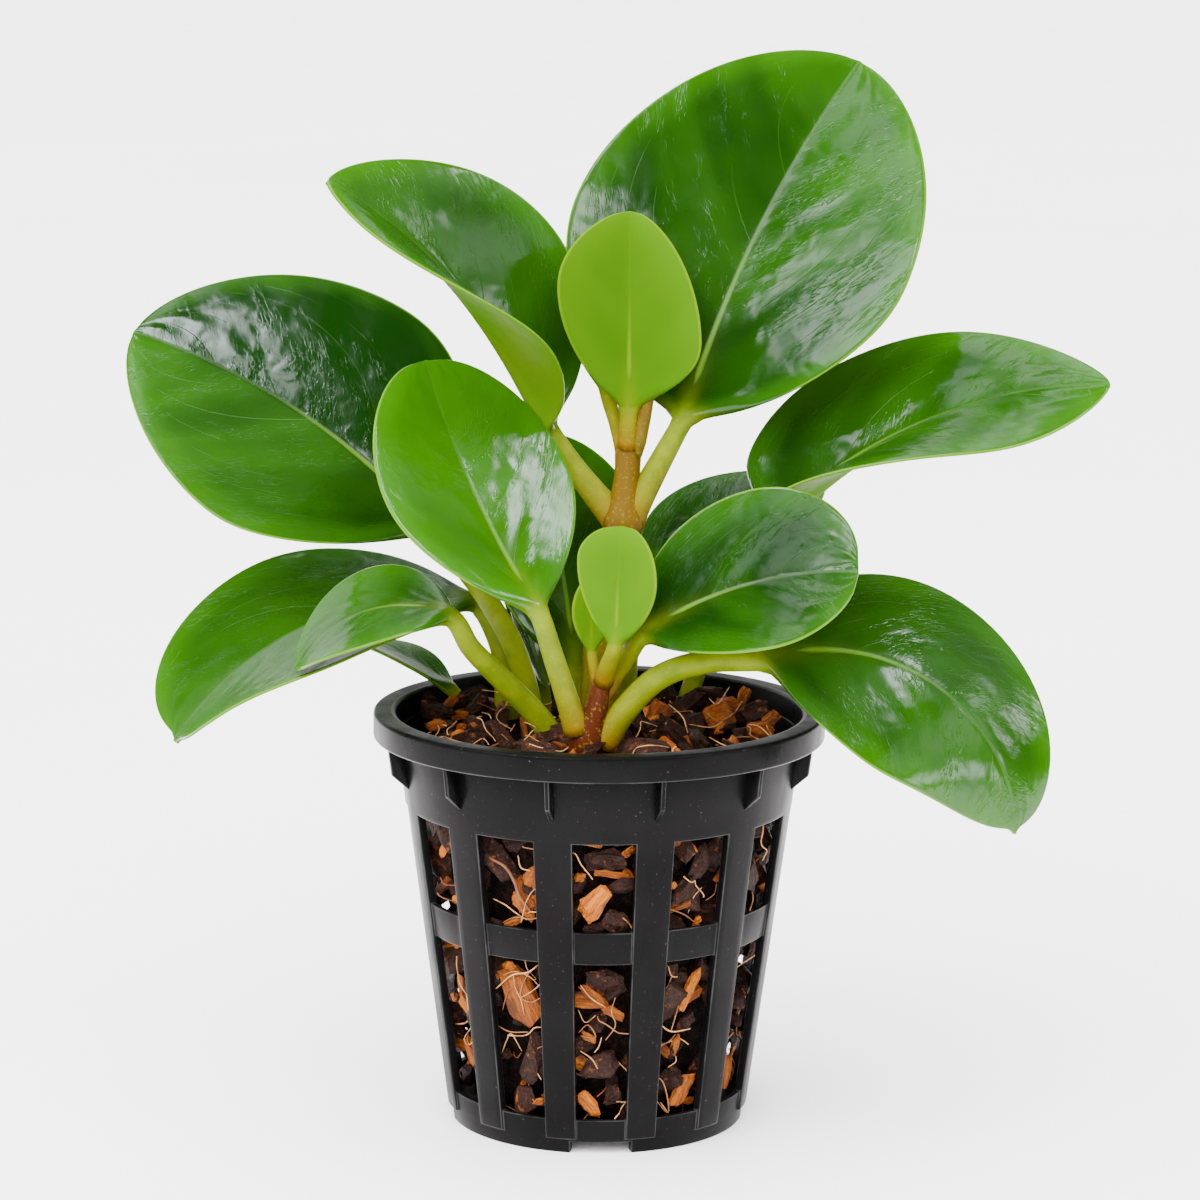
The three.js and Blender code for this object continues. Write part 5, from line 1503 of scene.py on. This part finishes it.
# Threads laid over them: thickness and the points they run through.
PICKED_THREADS = [
    (0.75, [(-21.1, -28.1, 59.3), (-17.9, -30, 57.8), (-16.2, -30.6, 55.2), (-15, -30.7, 52),
        (-13, -31.2, 49.4)]),
    (0.3, [(-20.4, -26.9, 50.8), (-17.9, -28.5, 49.9), (-16, -29.5, 48.7), (-13.8, -30.4, 47.5)]),
    (0.35, [(-18.9, -27.2, 45.8), (-16, -29.3, 47.7), (-13, -30.7, 47.7), (-10.6, -31.8, 48.7)]),
    (0.3, [(-15.5, -31.3, 60.6), (-14.9, -31.2, 58.1), (-13.1, -32, 57.7)]),
    (0.22, [(-16.3, -30.1, 62.8), (-14.8, -30.8, 62.2), (-11.6, -32, 61.8)]),
    (0.3, [(13.8, -30.7, 50), (17, -28.8, 48.2), (19.3, -26.9, 45.8)]),
    (0.26, [(17.5, -28.3, 48.5), (18.5, -28.2, 51.6), (20.2, -27.3, 53.4)]),
    (0.2, [(21, -26, 50.5), (22.7, -24.7, 51.5), (23.1, -24.6, 53.5)]),
    (0.34, [(-19.9, -25.5, 32.2), (-16.5, -28.4, 35.9), (-13.5, -30.1, 36.9), (-11.5, -31.2, 38.7)]),
    (0.26, [(-16.4, -28.4, 35.9), (-16, -28.3, 33.3), (-14.9, -28.5, 30.9), (-14.2, -28.4, 27.8)]),
    (0.28, [(-13.3, -30.2, 36.9), (-14.6, -29.2, 34.1), (-14.9, -28.6, 31.4), (-13, -29.4, 30.7),
        (-10.8, -30.5, 32)]),
    (0.22, [(-14.9, -28.6, 31.4), (-13, -29.7, 32.8), (-11.3, -30.6, 34.5), (-10.5, -31.1, 36.2)]),
    (0.24, [(-18.4, -27.1, 35.5), (-16, -28.8, 36.7), (-13, -30.2, 35.9), (-11.5, -30.6, 34.5)]),
    (0.22, [(-15.5, -28.6, 33.9), (-17.2, -27.3, 32.5), (-18, -26.5, 30.3), (-18.5, -25.8, 28)]),
    (0.26, [(-18.7, -23.1, 18.4), (-17.7, -24.4, 21.5), (-16.9, -25.3, 23.1), (-14.7, -26.1, 19.8)]),
    (0.26, [(-19.7, -23.5, 24.3), (-17.2, -25.2, 23.5), (-13.5, -27.5, 24.1)]),
    (0.26, [(-13.5, -26.8, 16.9), (-12, -27.3, 16.1), (-10.8, -27.6, 14.4)]),
    (0.24, [(-3.7, -30.7, 29.6), (-2.3, -30.5, 27), (-0.3, -30.8, 28.5)]),
    (0.34, [(-3.6, -30.4, 24.9), (-1.8, -30.8, 26.6), (-0.3, -30.5, 24), (-3.2, -30.4, 24.2)]),
    (0.24, [(0.9, -30.5, 24), (0.3, -30.2, 21.9), (-0.5, -30.1, 20.8)]),
    (0.26, [(1.7, -30.3, 23.4), (3.6, -30.5, 26.5), (2.8, -31, 29.2), (3.5, -31.3, 32.3)]),
    (0.22, [(-3.3, -31.8, 34.9), (-1.3, -31.6, 32.3), (1.6, -31.3, 30.3)]),
    (0.3, [(13.7, -28.6, 38.1), (14.5, -27.8, 35.7), (15.6, -27.2, 35.4)]),
    (0.3, [(14.5, -27.8, 35.7), (13.5, -28, 33.4), (12.4, -28.5, 33.3)]),
    (0.34, [(11.9, -28.5, 26.5), (14.4, -27, 24.3), (18.4, -24.4, 24.1)]),
    (0.26, [(14.4, -26.9, 24.1), (15.3, -26.9, 27.3), (15.9, -26.9, 29.6)]),
    (0.26, [(12, -27.5, 21.5), (13.9, -26.6, 22), (15.4, -26, 23.4)]),
    (0.24, [(14, -25.7, 16.6), (15.5, -25, 17.6), (15.5, -25.1, 18.7)]),
    (0.3, [(11.3, -27, 15.4), (13, -25.9, 13.6), (14.1, -24.3, 6.9), (11.1, -26.4, 10.7)]),
    (0.26, [(12.6, -25.5, 9.3), (14, -24.4, 7)]),
    (0.3, [(-3.2, -30.5, 21.2), (-1, -30.4, 19.6), (0.2, -30.2, 17.5)]),
    (0.24, [(-26.9, -21.5, 55.6), (-26.2, -23, 58.5)]),
    (0.3, [(-28.3, -9.9, 20.5), (-26.1, -15.1, 22.3), (-24.3, -18.5, 24.9)]),
    (0.3, [(25.8, -14.8, 19), (27.1, -12.6, 19.9)]),
    (0.26, [(-23.8, 3.2, 79.5), (-18.9, -10.4, 79.6), (-16.5, -14.2, 78.6), (-13.7, -13.9, 78.4)]),
    (0.22, [(-16.7, -3.9, 80.5), (-17.5, -9.2, 80.2)]),
    (0.28, [(-3.7, 0, 81.5), (-0.9, -4.2, 81.5), (1.1, -7.9, 81.5)]),
    (0.26, [(14, 6.9, 82.5), (16.7, -4.4, 82), (17.5, -8.4, 80)]),
    (0.24, [(17.7, -9.7, 82), (22.1, -14, 82.4), (25.1, -8.7, 83)]),
    (0.24, [(20.7, -0.8, 83), (23.6, -11.4, 83), (26.9, -3.3, 83)]),
    (0.26, [(21.6, -14.5, 80.5), (24.3, -19.2, 80), (27.6, -19.2, 79)]),
    (0.24, [(27, -0.9, 82.5), (28.7, 7.8, 83)]),
    (0.22, [(29.7, -7, 81.5), (31.7, -11.9, 82), (33.9, -15.4, 80.5)]),
    (0.24, [(22.1, 8, 83.5), (23.4, 2.5, 83.5), (26.4, 17, 84)]),
    (0.22, [(-9.3, -9.9, 81), (-7.1, -6.8, 81.5), (-5.9, -8.5, 81)]),
    (0.24, [(9.9, -9.7, 80.5), (12.4, -9.2, 81), (13.3, -6.2, 81.5)]),
    (0.24, [(-24.8, -18.9, 79.6), (-22.7, -15, 80), (-21.5, -17.9, 79.4)]),
]


def picked_chips(kind, rough, material, seed):
    """The chips of one kind from the tables, in one piece."""
    generator = np.random.default_rng(seed)
    points, faces, grain, tints = [], [], [], []
    chosen = [(middle, size, (round(math.degrees(math.atan2(middle[1], middle[0]))), -4), turn, tint)
              for middle, size, turn, tint in CHIPS_IN_OPENINGS[kind]]
    for middle, size, look, turn, tint in chosen + CHIPS_ON_TOP[kind]:
        mesh = chip_mesh("chip", size, 18, 2, rough, generator)
        out = np.array(heading(*look))
        across = unit(np.cross((0, 0, 1), out))
        upward = np.cross(out, across)
        angle = math.radians(turn)
        long_side = across * math.cos(angle) + upward * math.sin(angle)
        short_side = np.cross(out, long_side)
        first = len(points)
        for vertex in mesh.vertices:
            x, y, z = np.array(vertex.co) / MM
            spot = np.array(middle) + long_side * x + short_side * y + out * z
            inner = wall_radius(spot[2]) - RIB_PROUD - WALL - 0.3
            spot[:2] *= min(1.0, min(inner, MOUTH) / math.hypot(spot[0], spot[1]))
            points.append(spot)
            grain.append(vertex.co[:])
            tints.append(tint)
        faces += [[first + v for v in face.vertices] for face in mesh.polygons]
        bpy.data.meshes.remove(mesh)
    piece = new_piece("picked_" + kind, points, faces, material, smooth=False, turn=False)
    store(piece.data, "local", grain, "FLOAT_VECTOR")
    store(piece.data, "tint", tints)
    return piece


def picked_threads(material):
    """The threads from the table: thin tubes through their points."""
    sides = 5
    points, faces, tints = [], [], []
    for number, (thick, path) in enumerate(PICKED_THREADS):
        path = curve_through(path, 6)
        along = unit(np.gradient(path, axis=0))
        aside = unit(np.cross(along, unit(np.array([path[0, 0], path[0, 1], 1.0]))))
        above = np.cross(aside, along)
        radius = (thick / 2 * (0.45 + 0.55 * np.sin(np.linspace(0.3, 2.7, len(path)))))[:, None]
        first, rows = len(points), len(path)
        for c, s in circle(1, sides):
            points += list(path + (aside * c + above * s) * radius)
        for k in range(sides):
            a, b = first + k * rows, first + (k + 1) % sides * rows
            faces += [(a + i, a + i + 1, b + i + 1, b + i) for i in range(rows - 1)]
        faces.append([first + k * rows for k in range(sides)])
        faces.append([first + k * rows + rows - 1 for k in reversed(range(sides))])
        tints += [0.35 + 0.65 * (number * 0.618 % 1)] * (rows * sides)
    piece = new_piece("picked_threads", points, faces, material)
    store(piece.data, "tint", tints)
    return piece


def make_bed():
    """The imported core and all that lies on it."""
    core = core_piece(crumbs_and_shade_material())
    bark, husk, thread = bark_material(), husk_material(), fibre_material()
    lumps = chip_shapes("lump", 8, (11, 8, 5), corners=16, rough=0.25, seed=11)
    flakes = chip_shapes("flake", 7, (11, 5, 2.4), corners=14, rough=0.18, seed=23)
    pieces = [
        scatter_chips("bark_behind_slots", core, lumps, bark, steep=True, spacing=6.2, density=60000,
                      sizes=(0.45, 1.0), lift=1.0, tilt=1.1, seed=3),
        scatter_chips("husk_behind_slots", core, flakes, husk, steep=True, spacing=10.5, density=30000,
                      sizes=(0.4, 0.85), lift=1.8, tilt=0.6, seed=8),
        scatter_chips("bark_on_top", core, lumps, bark, steep=False, spacing=4.8, density=60000,
                      sizes=(0.5, 1.0), lift=1.8, tilt=0.8, seed=5),
        scatter_chips("husk_on_top", core, flakes, husk, steep=False, spacing=7.6, density=50000,
                      sizes=(0.4, 0.8), lift=2.6, tilt=0.6, seed=9),
        scatter_fibres("fibres_behind_slots", core, thread, steep=True, density=12000, longest=11,
                       thick=0.24, lift=3.6, seed=2),
        scatter_fibres("fibres_on_top", core, thread, steep=False, density=20000, longest=9,
                       thick=0.22, lift=4.0, seed=4),
        picked_chips("bark", 0.2, bark, seed=31),
        picked_chips("husk", 0.14, husk, seed=32),
        picked_threads(thread),
    ]
    remove_shapes(lumps)
    remove_shapes(flakes)
    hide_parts("potting_medium")
    for piece in [core, *pieces]:
        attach(piece, "root")


# ---- camera, light and floor -----------------------------------------------------------------


def aim(thing, place, target, roll=0.0):
    thing.location = Vector(place) * MM
    turn = (Vector(target) - Vector(place)).normalized().to_track_quat("-Z", "Y")
    thing.rotation_euler = (turn @ Euler((0, 0, roll)).to_quaternion()).to_euler()


def make_camera():
    lens = bpy.data.cameras.new("camera")
    lens.lens = LENS
    lens.sensor_width = SENSOR
    lens.clip_start = 0.01
    lens.clip_end = 50
    camera = new_object("camera", lens)
    aim(camera, CAMERA_PLACE, CAMERA_AIM, CAMERA_ROLL)
    bpy.context.scene.camera = camera


def window_glow(n, way, place, half, soft):
    """How much of a window is seen in a direction, from 0 to 1."""
    def dot(direction):
        inputs = {0: way, 1: tuple(direction)}
        return n.out("ShaderNodeVectorMath", inputs, "Value", operation="DOT_PRODUCT")

    middle = heading(*place)
    across = middle.cross(Vector((0, 0, 1))).normalized()
    shown = n.ramp(dot(middle), 0.2, 0.3)
    for axis, width in ((across, half[0]), (across.cross(middle), half[1])):
        low, high = (math.sin(math.radians(angle)) for angle in (max(width - soft, 0), width + soft))
        shown = n.times(shown, n.ramp(n.math("ABSOLUTE", dot(axis)), low, high, 1, 0))
    return shown


def make_light():
    """The lamps, and the room that shows in gloss, lights the rest evenly and ends in a backdrop."""
    for name, towards, spread, strength, tone in LAMPS:
        lamp = bpy.data.lights.new(name, "SUN")
        lamp.angle = math.radians(spread)
        lamp.energy = strength
        lamp.color = tone
        holder = new_object(name, lamp)
        holder.visible_glossy = False
        aim(holder, 1500 * heading(*towards), (0, 0, 0))
    world = bpy.data.worlds.new("pale_room")
    bpy.context.scene.world = world
    world.use_nodes = True
    n = Nodes(world.node_tree)
    way = n.place("Generated")
    height = n.out("ShaderNodeSeparateXYZ", {0: way}, "Z")
    level = n.ramp(height, 0.95, 0.99, ROOM_DIM, CEILING)
    seen = n.out("ShaderNodeCombineXYZ", {0: level, 1: level, 2: level})
    for place, half, soft, strength, tone in WINDOWS:
        bright = tuple(strength * part for part in tone)
        seen = n.blend(window_glow(n, way, place, half, soft), seen, bright)
    ray = n.add("ShaderNodeLightPath").outputs
    seen = n.blend(ray["Is Diffuse Ray"], seen, (ROOM_SOFT, ROOM_SOFT, ROOM_SOFT))
    seen = n.blend(ray["Is Camera Ray"], seen, BACKDROP)
    n.plug(n.tree.nodes["Background"].inputs["Color"], seen)


def make_floor():
    n = Paint("pale_table")
    cloud = n.ramp(n.noise(n.place(), 3, 4, 0.6), 0.4, 0.65)
    material = n.finished(n.blend(cloud, (0.95, 0.93, 0.935), (0.92, 0.9, 0.905)), 0.32)
    reach = 30000
    points = [(-reach, -reach, 0), (reach, -reach, 0), (reach, reach, 0), (-reach, reach, 0)]
    table = new_piece("table", points, [(0, 1, 2, 3)], material, smooth=False, turn=False)


# ---- the whole scene -------------------------------------------------------------------------


make_camera()
make_light()
make_floor()

finishes = {
    kind: [leaf_material(*finish, greens) for finish in parts]
    for kind, (greens, parts) in LEAF_FINISHES.items()
}
for number, leaf in enumerate(LEAVES):
    leaf_piece(leaf, number + 1, finishes[leaf.finish])
for stem in STEMS:
    stem_piece(stem)
make_pot()
make_bed()
